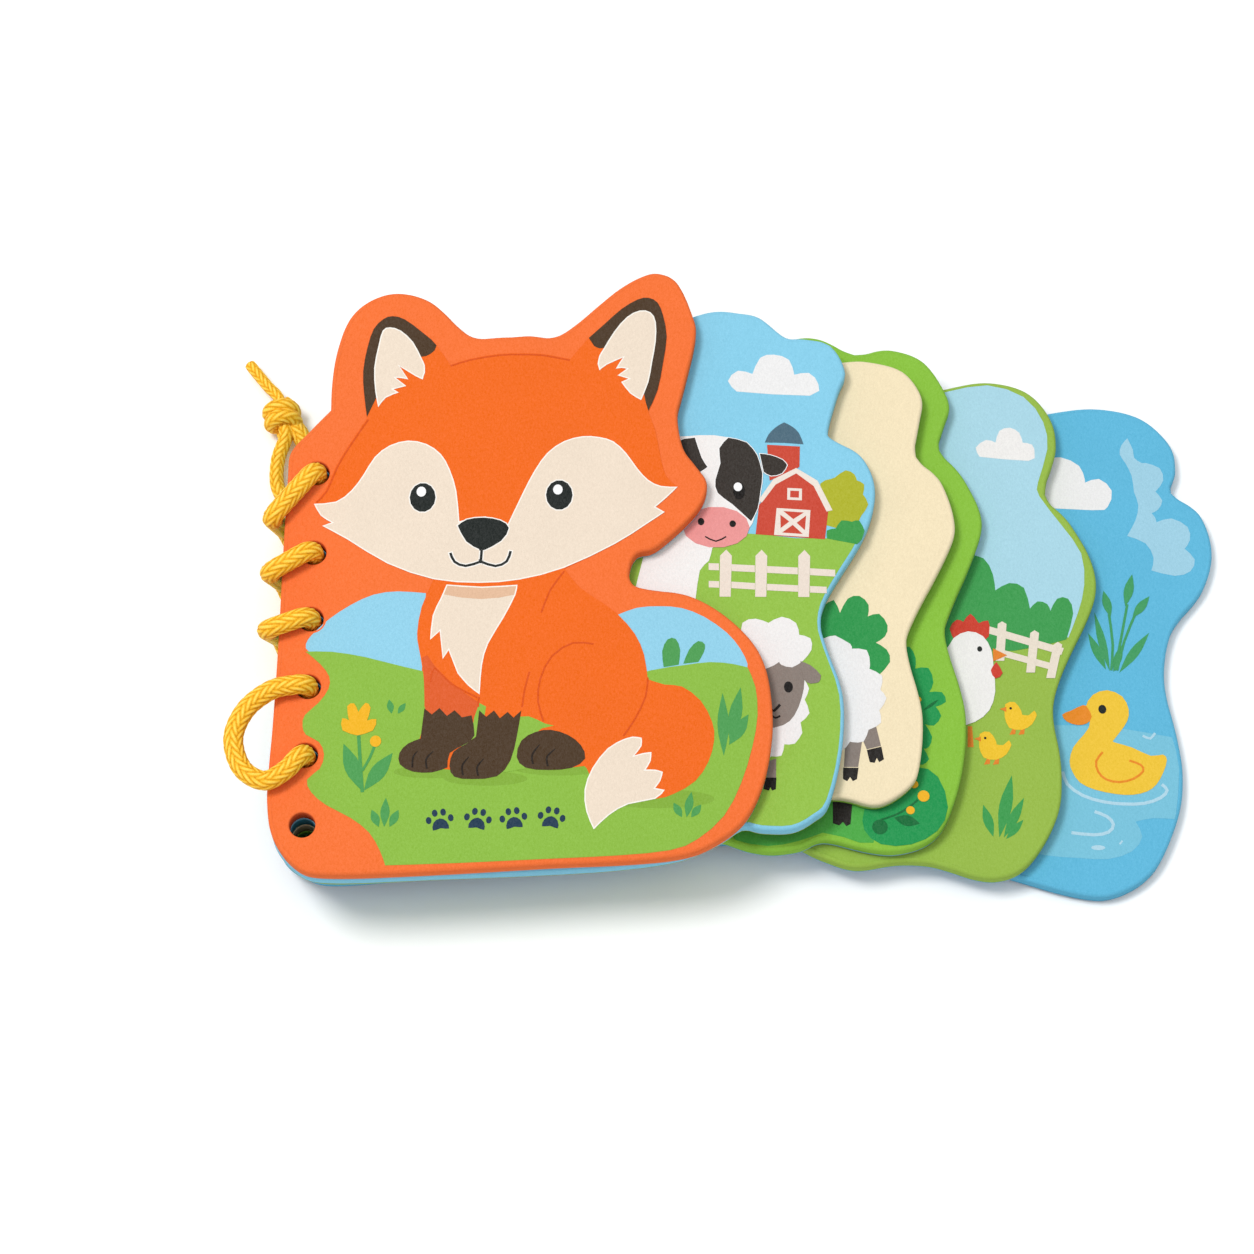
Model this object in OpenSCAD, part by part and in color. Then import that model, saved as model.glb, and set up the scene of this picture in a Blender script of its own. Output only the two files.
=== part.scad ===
// Laced cloth board book: a fox shaped cover, four shaped leaves and a back board.
// X runs from the spine to the fore edge, Y along the row of lacing holes, Z up through the boards.
// The origin is the centre of the spare lacing hole, on the underside of the back board.

/* [Boards] */
// Height of the front cover, from its foot to the tip of its taller ear
cover_h = 176.1; // [172:0.1:182]
// Thickness of one padded board with its print
board_t = 5; // [4:0.5:8]
// Air between two boards that lie on each other
board_gap = 0.3; // [0.2:0.1:1]
// Depth at the top of each board that the print takes up
print_room = 0.3; // [0.3:0.1:0.6]
// Thickness of one field of print
ink_t = 0.05; // [0.02:0.01:0.05]
// Plain rim kept free around a field that fills a board
rim_w = 1; // [0.6:0.1:2]

/* [Lacing] */
// Diameter of the lacing holes
hole_d = 6.8; // [6.6:0.1:7.2]
// Spacing of the five lower holes
hole_pitch = 19.3; // [19:0.1:19.6]
// Spacing from the fifth hole up to the top one
top_hole_gap = 23.5; // [23:0.1:24]
// Diameter of the cord where it is laced
cord_d = 5.4; // [3:0.1:5.6]
// Diameter of the cord's free end
free_d = 4; // [2.5:0.1:4.4]

/* [Knot] */
// Outer diameter of the knot
knot_d = 11.2; // [9:0.1:11.6]
// Length of the knot along the cord
knot_l = 8.6; // [6:0.2:9]
// Air between the knot and the cord that runs through it
knot_clear = 0.1; // [0.05:0.05:0.3]

/* [Hidden] */

boards = 6;
board_steps = 3;
print_steps = 2;
oval_fn = 14;
hair = 0.01;

// Heights of the boards, counted from the back board
level_h = board_t + board_gap;
foam_t = board_t - print_room;
function board_z(b) = b * level_h;
stack_h = board_z(boards - 1) + board_t;

// Places of the lacing holes along the spine, from the spare one up
hole_y = [0, hole_pitch, 2 * hole_pitch, 3 * hole_pitch, 4 * hole_pitch, 4 * hole_pitch + top_hole_gap];

// Board numbers
back = 0;
hen = 1;
hedge = 2;
cream = 3;
cow = 4;
cover = 5;

// Curves through points: a run keeps its two ends sharp, a loop is smooth all round
function blend(a, b, c, d, t) =
  0.5 * (2 * b + (c - a) * t + (2 * a - 5 * b + 4 * c - d) * t * t + (3 * b - a - 3 * c + d) * t * t * t);
function run(p, n = print_steps) = len(p) == 2 ? [p[0]] :
  [for (i = [0:len(p) - 2]) for (k = [0:n - 1])
    blend(p[max(i - 1, 0)], p[i], p[i + 1], p[min(i + 2, len(p) - 1)], k / n)];
function runs(r, n = print_steps) =
  [for (i = [0:len(r) - 1]) each run(concat(r[i], [r[(i + 1) % len(r)][0]]), n)];
function loop(p) = let (n = len(p))
  [for (i = [0:n - 1]) for (k = [0:print_steps - 1])
    blend(p[(i + n - 1) % n], p[i], p[(i + 1) % n], p[(i + 2) % n], k / print_steps)];
function oval(c, a, b, n = oval_fn) = [for (k = [0:n - 1])
  c + [a * cos(360 * k / n), b * sin(360 * k / n)]];
function unit(v) = v / norm(v);
function side(v) = [-v[1], v[0]];

// A stroke of width w along a curve
function stroke(p, w) = let (q = concat(run(p), [p[len(p) - 1]]), n = len(q),
    s = [for (i = [0:n - 1]) side(unit(q[min(i + 1, n - 1)] - q[max(i - 1, 0)]))])
  concat([for (i = [0:n - 1]) q[i] + s[i] * w / 2], [for (i = [n - 1:-1:0]) q[i] - s[i] * w / 2]);

// A closed clockwise outline drawn in by w
function inset(p, w) = let (n = len(p))
  [for (i = [0:n - 1]) p[i] - side(unit(p[(i + 1) % n] - p[(i + n - 1) % n])) * w];

// The outlines and the print are drawn for a cover of this height, and follow cover_h
drawn_h = 176.1;
drawn_scale = cover_h / drawn_h;

// Board outlines, clockwise from the top of the spine
spine = [[-7.5, -3.5], [-9.5, 6], [-9.5, 16], [-9, 28], [-8.5, 52], [-8.3, 80], [-8, 99]];
cover_outline = runs([
  concat([[3, 120], [3, 128], [4, 137.5], [7, 147.5], [12.5, 153.5], [20.5, 156], [30, 153], [40.5, 143],
    [49, 142.5], [57, 143], [66, 143.5], [80.5, 156.5], [88, 161.5], [93, 162.5], [98, 159.5],
    [102, 150], [103, 142.5], [99.5, 126], [98, 118.5], [99.5, 109], [103, 103.5], [106, 98],
    [103, 90], [92.5, 79.5]],
    [[87, 77.5], [85, 72.5], [86, 68.5], [91, 67], [100.5, 65.5], [109.5, 60.5], [117.5, 52.5],
    [121.5, 44], [123, 32], [122.5, 22], [120, 11], [115, 1.5], [106.5, -5], [98, -8], [84, -9.5],
    [64.5, -10.5], [33.5, -12.5], [8, -13.5], [-1, -11.5]],
    spine,
    [[-7.5, 107], [-3, 113]])], board_steps);
cow_outline = runs([
  concat([[4, 116], [20, 122], [50, 130], [80, 138], [94, 148]],
    [[103, 152], [109, 153.5], [115, 153], [121, 151.5], [128, 145.5], [133, 145], [140.5, 143],
    [144.5, 135], [142.5, 128.5], [139.5, 117], [141, 114], [148.5, 109], [152, 99], [149, 86],
    [139, 68.5], [136.5, 60], [138, 52.5], [142, 39], [141.5, 23.5], [138, 9], [134, 4.5],
    [128, 1.3], [120, 1.2]],
    [[115, 2], [109, -2], [99, -6.5], [84, -9], [64.5, -10.5], [33, -12], [8, -13], [-1, -11]],
    spine,
    [[-7.5, 106], [-3, 112]])], board_steps);
cream_outline = runs([
  concat([[4, 115], [30, 121], [70, 128], [110, 134], [130, 138]],
    [[144.5, 140.5], [152, 140.5], [161, 137.5], [166, 129.5], [165, 121], [164, 111.5],
    [170.5, 104], [174, 91], [171, 81], [161.5, 62], [160, 53.5], [163.5, 36.5], [162.5, 21.5],
    [159.5, 15], [151, 10], [141, 12]],
    [[128, 11], [114, 6], [100, -2], [84, -6.5], [64, -8.5], [33, -10.3], [8, -11.5], [-1, -9.5]],
    [for (p = spine) p + [0, 0.8]],
    [[-7.5, 106], [-3, 111.5]])], board_steps);
hedge_outline = runs([
  concat([[4, 114.5], [30, 120], [70, 127], [105, 138], [122, 147]],
    [[132, 150.5], [139, 150], [148, 145.5], [157.5, 147], [167.5, 143], [174, 131], [172.5, 123.5],
    [171, 116], [177, 108], [182, 95], [179, 83], [172.5, 67.5], [171, 59], [175.5, 39.5],
    [174.5, 22.5], [170, 8], [164.5, 1.5], [156, -1.2], [148, -0.5], [137, 2], [130.5, -0.5],
    [123, -1.5], [116.5, -0.5], [108, 2]],
    [[98, 0], [84, -4], [64, -6.5], [33, -8.5], [8, -10], [-1, -8]],
    [for (p = spine) p + [0, 1.6]],
    [[-7.5, 106], [-3, 111]])], board_steps);
hen_outline = runs([
  concat([[4, 114], [30, 118], [70, 123], [110, 127], [145, 131], [164, 134.5]],
    [[174, 137.5], [185.5, 139.5], [196.5, 136.5], [203, 128], [204, 118], [200.5, 105],
    [206.5, 97], [212.5, 84.5], [212.5, 72.5], [203.5, 53], [200, 40.5], [201.5, 25.5], [200, 11],
    [191.5, -3], [181, -7], [166.5, -3], [156.5, -2.5], [145.5, -4], [136, -1], [128, 2.5]],
    [[114, 3.5], [98, 2], [84, -1], [64, -4], [33, -6.5], [8, -8.3], [-1, -6.6]],
    [for (p = spine) p + [0, 2.4]],
    [[-7.5, 106], [-3, 110.5]])], board_steps);
back_outline = runs([
  concat([[4, 113.5], [30, 116.5], [70, 120], [120, 123], [165, 126], [192, 129.5]],
    [[203.5, 132.5], [216.5, 134], [229, 131], [237, 122.5], [238, 114], [236.5, 108],
    [244, 101.5], [246.8, 90], [243.5, 78.5], [234.5, 66.5], [231.5, 51.5], [234, 35.5],
    [235, 24], [233, 12], [226, -2.5], [215.5, -9.5], [205, -9.5], [187.5, -4.5]],
    [[172, 0], [150, 3], [125, 5], [100, 4], [64, -1], [33, -4.6], [8, -7], [-1, -5.4]],
    [for (p = spine) p + [0, 3.2]],
    [[-7.5, 106], [-3, 110]])], board_steps);

module board(b, outline) {
  difference() {
    translate([0, 0, board_z(b)])
      linear_extrude(foam_t)
        scale(drawn_scale)
          polygon(outline);
    for (y = hole_y)
      translate([0, y, board_z(b) - hair])
        cylinder(d = hole_d, h = foam_t + 2 * hair, $fn = 24);
  }
}

// A field of print: the layers count up from the board's face
module ink(b, layer) {
  translate([0, 0, board_z(b) + foam_t + layer * ink_t])
    linear_extrude(ink_t)
      scale(drawn_scale)
        children();
}

module back_board() {
  color("#4FB2DB") board(back, back_outline);
}
module hen_leaf() {
  color("#9BBF4A") board(hen, hen_outline);
}
module hedge_leaf() {
  color("#8DC63F") board(hedge, hedge_outline);
}
module cream_leaf() {
  color("#F7E4BD") board(cream, cream_outline);
}
module cow_leaf() {
  color("#86CDEB") board(cow, cow_outline);
}
module front_cover() {
  color("#FF7A3D") board(cover, cover_outline);
}

// Cover print: sky and meadow
module cover_sky() {
  color("#8FD3F0") {
    ink(cover, 0) polygon(runs([
      [[30.5, 65.5], [23, 66], [16.5, 65], [10.5, 62], [5, 58], [1.5, 54.5], [-0.5, 52], [-1, 49.5]],
      [[1.5, 47]], [[30, 41]]]));
    ink(cover, 0) polygon(runs([
      [[82, 59.5], [87, 61.5], [93, 62], [99, 61.5], [105, 59], [111, 54.5], [114.5, 50], [116.5, 45.5]],
      [[116, 43]], [[88, 41]]]));
  }
}
module cover_meadow() {
  color("#8FBF45") ink(cover, 1) polygon(runs([
    [[-1, 48.5], [6, 48.5], [15, 47], [24.5, 44.5], [45, 40], [70, 38], [90.5, 43.5], [99, 45],
      [106.5, 46], [112.5, 45.5]],
    [[116.5, 44.5], [118.5, 39], [119, 31], [117.5, 22], [114.5, 12], [110, 3], [103, -3.5],
      [96, -6.5], [82.5, -8], [64.5, -9], [40, -10.3]],
    [[22, -11], [20.5, -7], [17.5, -2], [12.5, 2], [6, 5.5], [2, 9], [0.8, 12.5], [4, 15.5], [5, 19.5],
      [3.5, 23], [0, 25], [-1, 27.5], [-0.5, 30.5], [3, 34], [5.5, 38], [5.5, 41.5], [3, 45]]]));
}

// A leaf shape from its foot to its tip, w wide at the middle
function leaf(a, b, w) = let (d = b - a, s = side(unit(d)) * w / 2)
  runs([[a, a + d * 0.35 + s * 0.9, a + d * 0.65 + s * 0.9], [b, a + d * 0.65 - s * 0.9, a + d * 0.35 - s * 0.9]]);

module cover_plants() {
  color("#4FA055") {
    for (l = [[[15.2, 9.5], [10, 22.5], 4.2], [[15.8, 9.5], [23, 20], 4], [[110, 19.6], [109.8, 37.2], 3],
        [[111.6, 23.4], [114.6, 38.8], 3.4], [[111.4, 22.6], [116.6, 31.2], 3.4]])
      ink(cover, 2) polygon(leaf(l[0], l[1], l[2]));
    ink(cover, 3) polygon(stroke([[15.4, 9], [14.6, 17], [13.8, 26]], 0.9));
    ink(cover, 3) polygon(stroke([[15.2, 15], [17, 18.5], [18.2, 22]], 0.7));
    for (l = [[[20, -0.5], [18, 4.2], 2.2], [[21.4, -0.5], [21.6, 7.5], 2.4], [[22.8, -0.5], [25, 4.2], 2.2],
        [[99, 2.5], [96.8, 6.5], 2], [[100.2, 2.5], [101.5, 9.5], 2.2], [[101.4, 2.5], [104, 6], 2],
        [[22.4, 31], [21.6, 35], 1.8], [[24, 31], [26, 34], 1.6]])
      ink(cover, 2) polygon(leaf(l[0], l[1], l[2]));
    ink(cover, 1) polygon(runs([[[94.2, 44.5], [93.8, 49], [95.2, 52.4], [97.4, 52.6], [98.6, 49.4]], [[98.2, 45.2]]]));
    ink(cover, 1) polygon(runs([[[99.4, 45.5], [101, 49.6], [103.4, 52], [105.2, 51], [104.8, 48.6]], [[103.4, 46]]]));
  }
}
module cover_flowers() {
  color("#F5B81F") {
    ink(cover, 4) polygon(runs([
      [[13.6, 24.8], [9.6, 26.2], [9.4, 29.6]], [[11.2, 29], [10.6, 33], [12.4, 33.8]],
      [[13.6, 31.4], [15.4, 34], [16.8, 32.6]], [[16, 29], [18.4, 29.4], [17.6, 26.2]]]));
    ink(cover, 4) polygon(oval([18.4, 23.2], 1.5, 1.6));
  }
}

// A row of four paw marks along the foot of the meadow
module cover_paw_prints() {
  color("#1F3A52")
    for (i = [0:3])
      translate([36 + 9.6 * i, 0.4 + 0.25 * i, 0])
        rotate(i % 2 == 0 ? 8 : -8) {
          ink(cover, 2) polygon(loop([[-2.1, -1.6], [-1.7, 0.5], [0, 1.5], [1.7, 0.5], [2.1, -1.6], [0, -1.2]]));
          for (t = [[-2.9, 1.3], [-1.1, 3.1], [1.1, 3.1], [2.9, 1.3]])
            ink(cover, 2) polygon(oval(t, 0.75, 1, 10));
        }
}

// The fox: coat first, then what lies on it
module fox_coat() {
  color("#FA6A1E") ink(cover, 2) polygon(runs([
    [[-0.5, 91.5], [2.5, 95.5], [5, 102.5], [8, 108.5]],
    [[13, 117], [12, 124.5], [11.5, 131.5], [12.5, 139], [14, 144.5], [16.5, 147.5], [19, 148.5],
      [22.5, 147.5], [27.5, 143.5], [31.5, 139.5]],
    [[35.5, 133.5], [41, 135.5], [49, 137], [55, 137.2], [61, 137]],
    [[68.5, 135.5], [73.5, 142], [78, 146.5], [82.5, 151], [87, 154], [90, 154.5], [92.5, 153],
      [94, 149], [95, 142.5], [94, 134.5], [92.5, 126]],
    [[90, 119.5], [92, 113.5], [93.5, 105], [95, 100]],
    [[98, 97], [95, 93.8]], [[92, 91]], [[94.5, 89.5], [89, 85.5], [81, 80]],
    [[67.5, 72.8], [71.5, 67.5], [77, 63.5], [82, 59.5], [86.5, 54], [89, 48]],
    [[90, 41], [94.5, 39.5], [99, 39], [104, 35], [107, 29], [107.5, 24], [106, 18], [102.5, 12.5],
      [97, 9], [92, 7.5], [84, 8], [77, 10.5], [74, 16]],
    [[73, 16.5], [66, 15.8], [58, 16.4], [48, 15], [38, 15.4]],
    [[28, 16.5], [29, 22], [31, 32], [30.5, 42], [29, 50], [28.5, 54], [29.5, 61.5]],
    [[32.5, 69.5], [20, 74], [9, 81]], [[2, 85]], [[4.5, 86], [1.5, 88]]]));
}
module fox_cream() {
  color("#F5E6D6") {
    ink(cover, 3) polygon(runs([
      [[-0.5, 91.5], [1.5, 88]], [[4.5, 86]], [[2, 85], [9, 81], [20, 74], [32.5, 69.5], [44.5, 68.5],
        [55.5, 69.5], [67.5, 73], [81, 80], [89, 85.5]],
      [[94.5, 89.5]], [[92, 91], [95, 93.8]], [[98, 97], [93.5, 97.2], [90, 99], [87, 102.5], [84, 107],
        [80.5, 110.5], [76.5, 111.8], [72, 112], [67, 110.5], [62.5, 107], [59, 101.5], [56, 95]],
      [[52, 85.5], [46, 88]], [[39, 86.5], [38, 95.5], [36, 102], [33.5, 106.5], [29.5, 109.5],
        [24.5, 110.5], [19.5, 109], [15.5, 105.5], [12.5, 100], [9.5, 95.5], [5.5, 92.2]]]));
    ink(cover, 3) polygon(runs([
      [[36, 68], [34.5, 64], [32.5, 59]], [[32, 52]], [[34.5, 54.5]], [[35.5, 46.5]], [[37, 49]],
      [[39.5, 42.5], [42.4, 39]], [[45.5, 36.5]], [[45.6, 38.5], [46, 45], [47.5, 51], [51.5, 58.5], [54.5, 65]],
      [[55, 68], [45.5, 67.4]]]));
    ink(cover, 3) polygon(runs([
      [[83.5, 24], [86, 24.8]], [[88.4, 24.5], [88.4, 22.2]], [[86.5, 19.5], [88.8, 20.2]],
      [[91, 20.5], [90.8, 18]], [[89.5, 15.6], [92, 15.6]], [[94, 15], [93.4, 12.6]], [[92, 10.5]],
      [[94.5, 10], [92, 7.5], [85, 6], [80, 3]], [[76, -1], [74, 4], [73.5, 10], [75.5, 16], [79.5, 21.5]]]));
    ink(cover, 4) polygon(runs([
      [[16, 120.5], [15, 125.5], [14.5, 132.5], [15.5, 139.5], [16.5, 144], [18.5, 145], [21.5, 144],
        [25, 140.5]],
      [[27.5, 135.5], [28.4, 133.4]], [[28.5, 131], [28.2, 130.2]], [[28, 129], [26, 130]], [[21.5, 133]],
      [[24, 129], [22, 129.4]], [[20.5, 129.5]], [[23.5, 127]], [[20, 126]], [[21.5, 125], [18, 123.4]]]));
    ink(cover, 4) polygon(runs([
      [[88, 123], [90, 128.5], [91, 134.5], [92, 141], [92, 147], [90.5, 150], [87.5, 150.5],
        [84, 148.5], [80.5, 144]],
      [[77.5, 138.5], [76.4, 136.4]], [[76, 134]], [[76.5, 132], [78.6, 133.8]], [[83, 136], [82, 134.4]],
      [[81, 132.5], [82.6, 132.8]], [[84, 132.5]], [[81.5, 130.5]], [[84.5, 129.5]], [[82.5, 128.5], [85, 125]]]));
  }
}
module fox_brown() {
  color("#4A382C") {
    ink(cover, 3) polygon(runs([
      [[13, 117.6], [12, 124.5], [11.5, 131.5], [12.5, 139], [14, 144.5], [16.5, 147.5], [19, 148.5],
        [22.5, 147.5], [27.5, 143.5], [31.5, 139.5]],
      [[30, 137], [28.6, 136.2]], [[27.2, 136], [24, 137.4], [20, 139], [17.4, 134], [17, 128]]]));
    ink(cover, 3) polygon(runs([
      [[73.5, 142], [78, 146.5], [82.5, 151], [87, 154], [90, 154.5], [92.5, 153], [94, 149],
        [95, 142.5], [94, 134.5], [92.5, 126]],
      [[90, 119.8], [88.6, 126], [89.4, 134], [88, 144], [83, 142]], [[77.8, 139], [76.4, 138.8]], [[75, 139.5]]]));
    ink(cover, 3) polygon(runs([
      [[31, 32.5]], [[33, 30.8]], [[35, 32.6]], [[37, 30.4]], [[39, 32]], [[41, 30]],
      [[43.5, 30.6], [44.4, 25], [42, 22.5], [38, 20]], [[37.5, 16], [33.5, 14.6], [28.4, 14.8], [25, 16.8],
        [24.8, 20], [27, 22.6]], [[30.2, 24]]]));
    ink(cover, 3) polygon(runs([
      [[45.5, 32]], [[47.4, 30.2]], [[49.4, 32]], [[51, 29.8]], [[53, 31.6]], [[54.6, 30]],
      [[56.6, 32], [55.6, 25], [54, 18], [50.5, 13.6], [44, 12.8], [39.4, 13.4], [38, 16.4], [39, 20.4],
        [42, 22.4]], [[44.8, 24.6]]]));
    ink(cover, 3) polygon(loop([[55.6, 19], [56.8, 23.6], [60.5, 26], [64.5, 26.6], [69, 25.2], [72.4, 22.4],
      [73.6, 18.6], [70, 16], [64, 15.4], [58, 16]]));
  }
}
module fox_lines() {
  color("#DE5510") {
    for (l = [[[75.5, 51], [70, 51.3], [64.5, 47.5], [61.5, 41], [61, 34.5], [62.5, 29]],
        [[90, 41.5], [89.4, 36], [86.5, 29.5], [83.6, 25]],
        [[67.5, 72], [63.8, 66.5], [61.5, 60]],
        [[32.4, 40], [33.4, 44], [38, 39.4], [45, 35.6]],
        [[45.3, 33], [45.2, 34.4], [45.4, 35.8]],
        [[56.8, 33], [57.4, 38], [58.6, 43]],
        [[35.5, 133.2], [41, 135.1], [49, 136.6], [55, 136.8], [61, 136.6], [68.3, 135.1]],
        [[13.4, 116.8], [8.4, 108.3], [5.4, 102.3], [2.9, 95.3], [0.2, 91.9]]])
      ink(cover, 3) polygon(stroke(l, 0.45));
  }
}
module fox_black() {
  color("#1E2422") {
    ink(cover, 4) polygon(oval([28.9, 93.5], 3.5, 4.3));
    ink(cover, 4) polygon(oval([65.9, 94.4], 3.6, 4.4));
    ink(cover, 4) polygon(runs([[[38.6, 85.2], [41, 87], [45.5, 87.6], [50, 86.8], [52.4, 84.6], [50.4, 80.8]],
      [[46.2, 78.2], [44.8, 78.2], [41, 80.6]]]));
    ink(cover, 4) polygon(stroke([[45.2, 78.1], [45.1, 76], [45, 74.2]], 0.7));
    for (s = [[[44.75, 74.6], [41, 73.4], [38, 74.6], [36.8, 77.2]], [[45.25, 74.6], [49, 73.4], [52, 74.8], [53, 77.8]]])
      ink(cover, 4) polygon(stroke(s, 0.7));
  }
}
module fox_highlights() {
  color("#FFFFFF")
    for (c = [[28.5, 95.2], [65.5, 96]])
      ink(cover, 5) polygon(oval(c, 1.3, 1.5));
}

// Cow leaf print
module cow_meadow() {
  color("#97C54A") ink(cow, 0) intersection() {
    polygon(inset(cow_outline, rim_w));
    polygon(runs([[[12, 78], [60, 84], [100, 86], [117.5, 85.6], [130, 84.3], [150, 81.8]],
      [[160, 60]], [[160, -20]], [[12, -20]]]));
  }
}
module cow_cloud() {
  color("#F2F2F2") ink(cow, 0) polygon(runs([
    [[114.4, 128.4], [112, 131.6], [114.8, 134.8]], [[118.8, 133.8], [121, 138.8], [124.8, 139.8], [129, 138.2]],
    [[130.4, 133.6], [134.4, 134.2], [137, 130.8], [134.6, 127.2]]]));
}
module cow_trees() {
  color("#B4B82C") ink(cow, 0) polygon(runs([
    [[137, 88.6], [137.4, 95], [137, 100.6], [140, 102]], [[141, 102.4], [144, 104.6], [146.4, 103.4]],
    [[147, 101.6], [149, 100.4]], [[148.6, 97.4], [150, 94.4]], [[148, 91], [146.6, 88.6]], [[143, 86.8]]]));
}
module cow_bush() {
  color("#3F9F4C") ink(cow, 1) polygon(runs([
    [[138.6, 84.2], [138.6, 86.6]], [[141, 87.2], [142.6, 89.6]], [[145.4, 89.2], [147.4, 89.6]],
    [[148.8, 86.6], [148, 84]], [[146.6, 82.6]]]));
}
module barn_red() {
  color("#CF4A36") {
    ink(cow, 1) polygon([[119.2, 85.4], [120.2, 94], [124.5, 100.4], [130.5, 103.8], [135.5, 99.6],
      [139, 92], [138, 84]]);
    ink(cow, 1) polygon([[122.6, 112.2], [131.6, 111.7], [131.4, 105.6], [130.6, 105], [123.2, 101.4]]);
  }
}
module barn_trim() {
  color("#F3E7DC") {
    ink(cow, 2) polygon([[120, 95.4], [124.2, 101.8], [130.5, 105.2], [136.3, 101.4], [140.2, 92.6],
      [138.6, 92.2], [135.2, 99.8], [130.5, 103.6], [124.8, 100.2], [121, 94.8]]);
    ink(cow, 2) difference() {
      polygon([[128, 99.2], [132, 99], [131.9, 95.5], [127.9, 95.7]]);
      polygon([[128.8, 98.4], [131.2, 98.3], [131.1, 96.3], [128.7, 96.4]]);
    }
    ink(cow, 2) difference() {
      polygon([[125, 93.2], [134.2, 92.6], [133.6, 84.6], [124.2, 85.2]]);
      polygon([[126, 91.2], [126, 87.2], [128.4, 89.2]]);
      polygon([[126.8, 92.3], [132.4, 91.9], [129.5, 89.9]]);
      polygon([[133, 91], [132.6, 86.6], [130.4, 88.8]]);
      polygon([[126.4, 85.9], [132, 85.5], [129.3, 88.2]]);
    }
  }
}
module silo_roof() {
  color("#4F6D7E") ink(cow, 1) polygon(runs([
    [[122, 112.9], [123, 115.2], [124.5, 117], [126, 118.2]], [[127.4, 119], [129.5, 117.8], [131.4, 115.8]],
    [[132.6, 112.4], [127.4, 112.8]]]));
}
module cow_fence() {
  color("#F0E2D4") {
    for (x = [111, 120.6, 132.2])
      ink(cow, 2) polygon([[x - 1.7, 67], [x - 1.5, 79], [x + 0.2, 80.8], [x + 1.7, 79], [x + 1.3, 67]]);
    for (r = [[106.4, 76.8, 109.2, 76.7], [112.6, 76.5, 118.9, 76.2], [122.2, 76, 130.5, 75.6], [133.8, 75.4, 140.6, 75]])
      ink(cow, 2) polygon([[r[0], r[1]], [r[2], r[3]], [r[2], r[3] - 2], [r[0], r[1] - 2]]);
    for (r = [[106.4, 71.6, 109.2, 71.5], [112.5, 71.4, 118.9, 71], [122.1, 70.8, 130.5, 70.4], [133.7, 70.2, 138.2, 70]])
      ink(cow, 2) polygon([[r[0], r[1]], [r[2], r[3]], [r[2], r[3] - 1.9], [r[0], r[1] - 1.9]]);
  }
}
module cow_body() {
  color("#F6F4F2") {
    ink(cow, 3) polygon(runs([
      [[84, 108], [90, 114], [100, 114.6], [108, 115], [116.5, 113]],
      [[119.8, 109.2], [121.4, 103.5], [120.6, 98], [118.4, 88.6], [112, 82], [98, 82]], [[86, 90]]]));
    ink(cow, 2) polygon(runs([
      [[90, 84], [100, 86]], [[109, 85], [107.5, 81.5], [106.5, 77.5], [104, 74.6], [102.8, 66]], [[101, 58]], [[84, 58]]]));
  }
}
module cow_patches() {
  color("#37312C") {
    ink(cow, 4) polygon(runs([
      [[112, 114.2], [109.5, 111], [109.8, 106.5], [108.4, 101.5], [109, 97.6], [113, 94.2]],
      [[118, 89.2], [119.8, 93], [120.6, 98], [121.2, 103.5]], [[119.8, 109], [117, 112.8]]]));
    ink(cow, 4) polygon(runs([
      [[102.8, 114.2], [97, 112.6], [96, 106], [99, 101], [104.4, 104]], [[106.2, 105.4], [104.6, 108.2]]]));
    ink(cow, 4) polygon(runs([
      [[120.6, 109.4], [123.5, 109], [126.8, 107.6]], [[128, 106], [126.6, 103.6], [123.6, 102.8]], [[121.6, 104]]]));
  }
}
module cow_muzzle() {
  color("#EE9A98") ink(cow, 4) polygon(oval([108.5, 87.4], 9.1, 6.1));
}
module cow_details() {
  color("#14100E") {
    ink(cow, 5) polygon(oval([114.8, 98.2], 1.6, 2.6));
    ink(cow, 5) polygon(oval([104.4, 89], 0.9, 1.1));
    ink(cow, 5) polygon(oval([113, 88.4], 0.9, 1));
    ink(cow, 5) polygon(stroke([[105.5, 84.6], [108.4, 83.2], [111.2, 84.6]], 0.4));
    ink(cow, 3) polygon(oval([127.5, 41], 1.2, 1.6));
    ink(cow, 3) polygon(stroke([[122.6, 34.8], [123.6, 34.2], [125.2, 36]], 0.7));
    ink(cow, 3) polygon(stroke([[123, 32.8], [124, 32.2], [125.2, 32.8]], 0.5));
    ink(cow, 2) polygon([[121, 15.4], [124, 15.4], [123.8, 12.2], [122.8, 11.8], [122.4, 12.8], [122, 11.8], [120.6, 12.2]]);
  }
}
module sheep_wool() {
  color("#F3F1F0") {
    ink(cow, 3) polygon(runs([
      [[114.8, 54], [115.4, 59.4], [119, 60.6]], [[122.4, 59.4], [126, 61.2], [129.8, 59.4]],
      [[130.6, 56], [133.6, 55], [133.8, 51.6]], [[131.6, 48.6], [128.6, 46.6], [125.6, 47.4]],
      [[125.2, 48.2], [121.6, 46.2], [117, 47]], [[114, 49]]]));
    ink(cow, 1) polygon(runs([
      [[108, 44], [122, 46]], [[131.6, 43.4], [133, 40.6]], [[131.8, 37.4], [133, 33.6]], [[130.6, 31]],
      [[131, 28], [129, 25]], [[126.2, 24.8], [125.4, 21.6]], [[122.8, 21.4], [118, 20]], [[108, 24]]]));
  }
}
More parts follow.
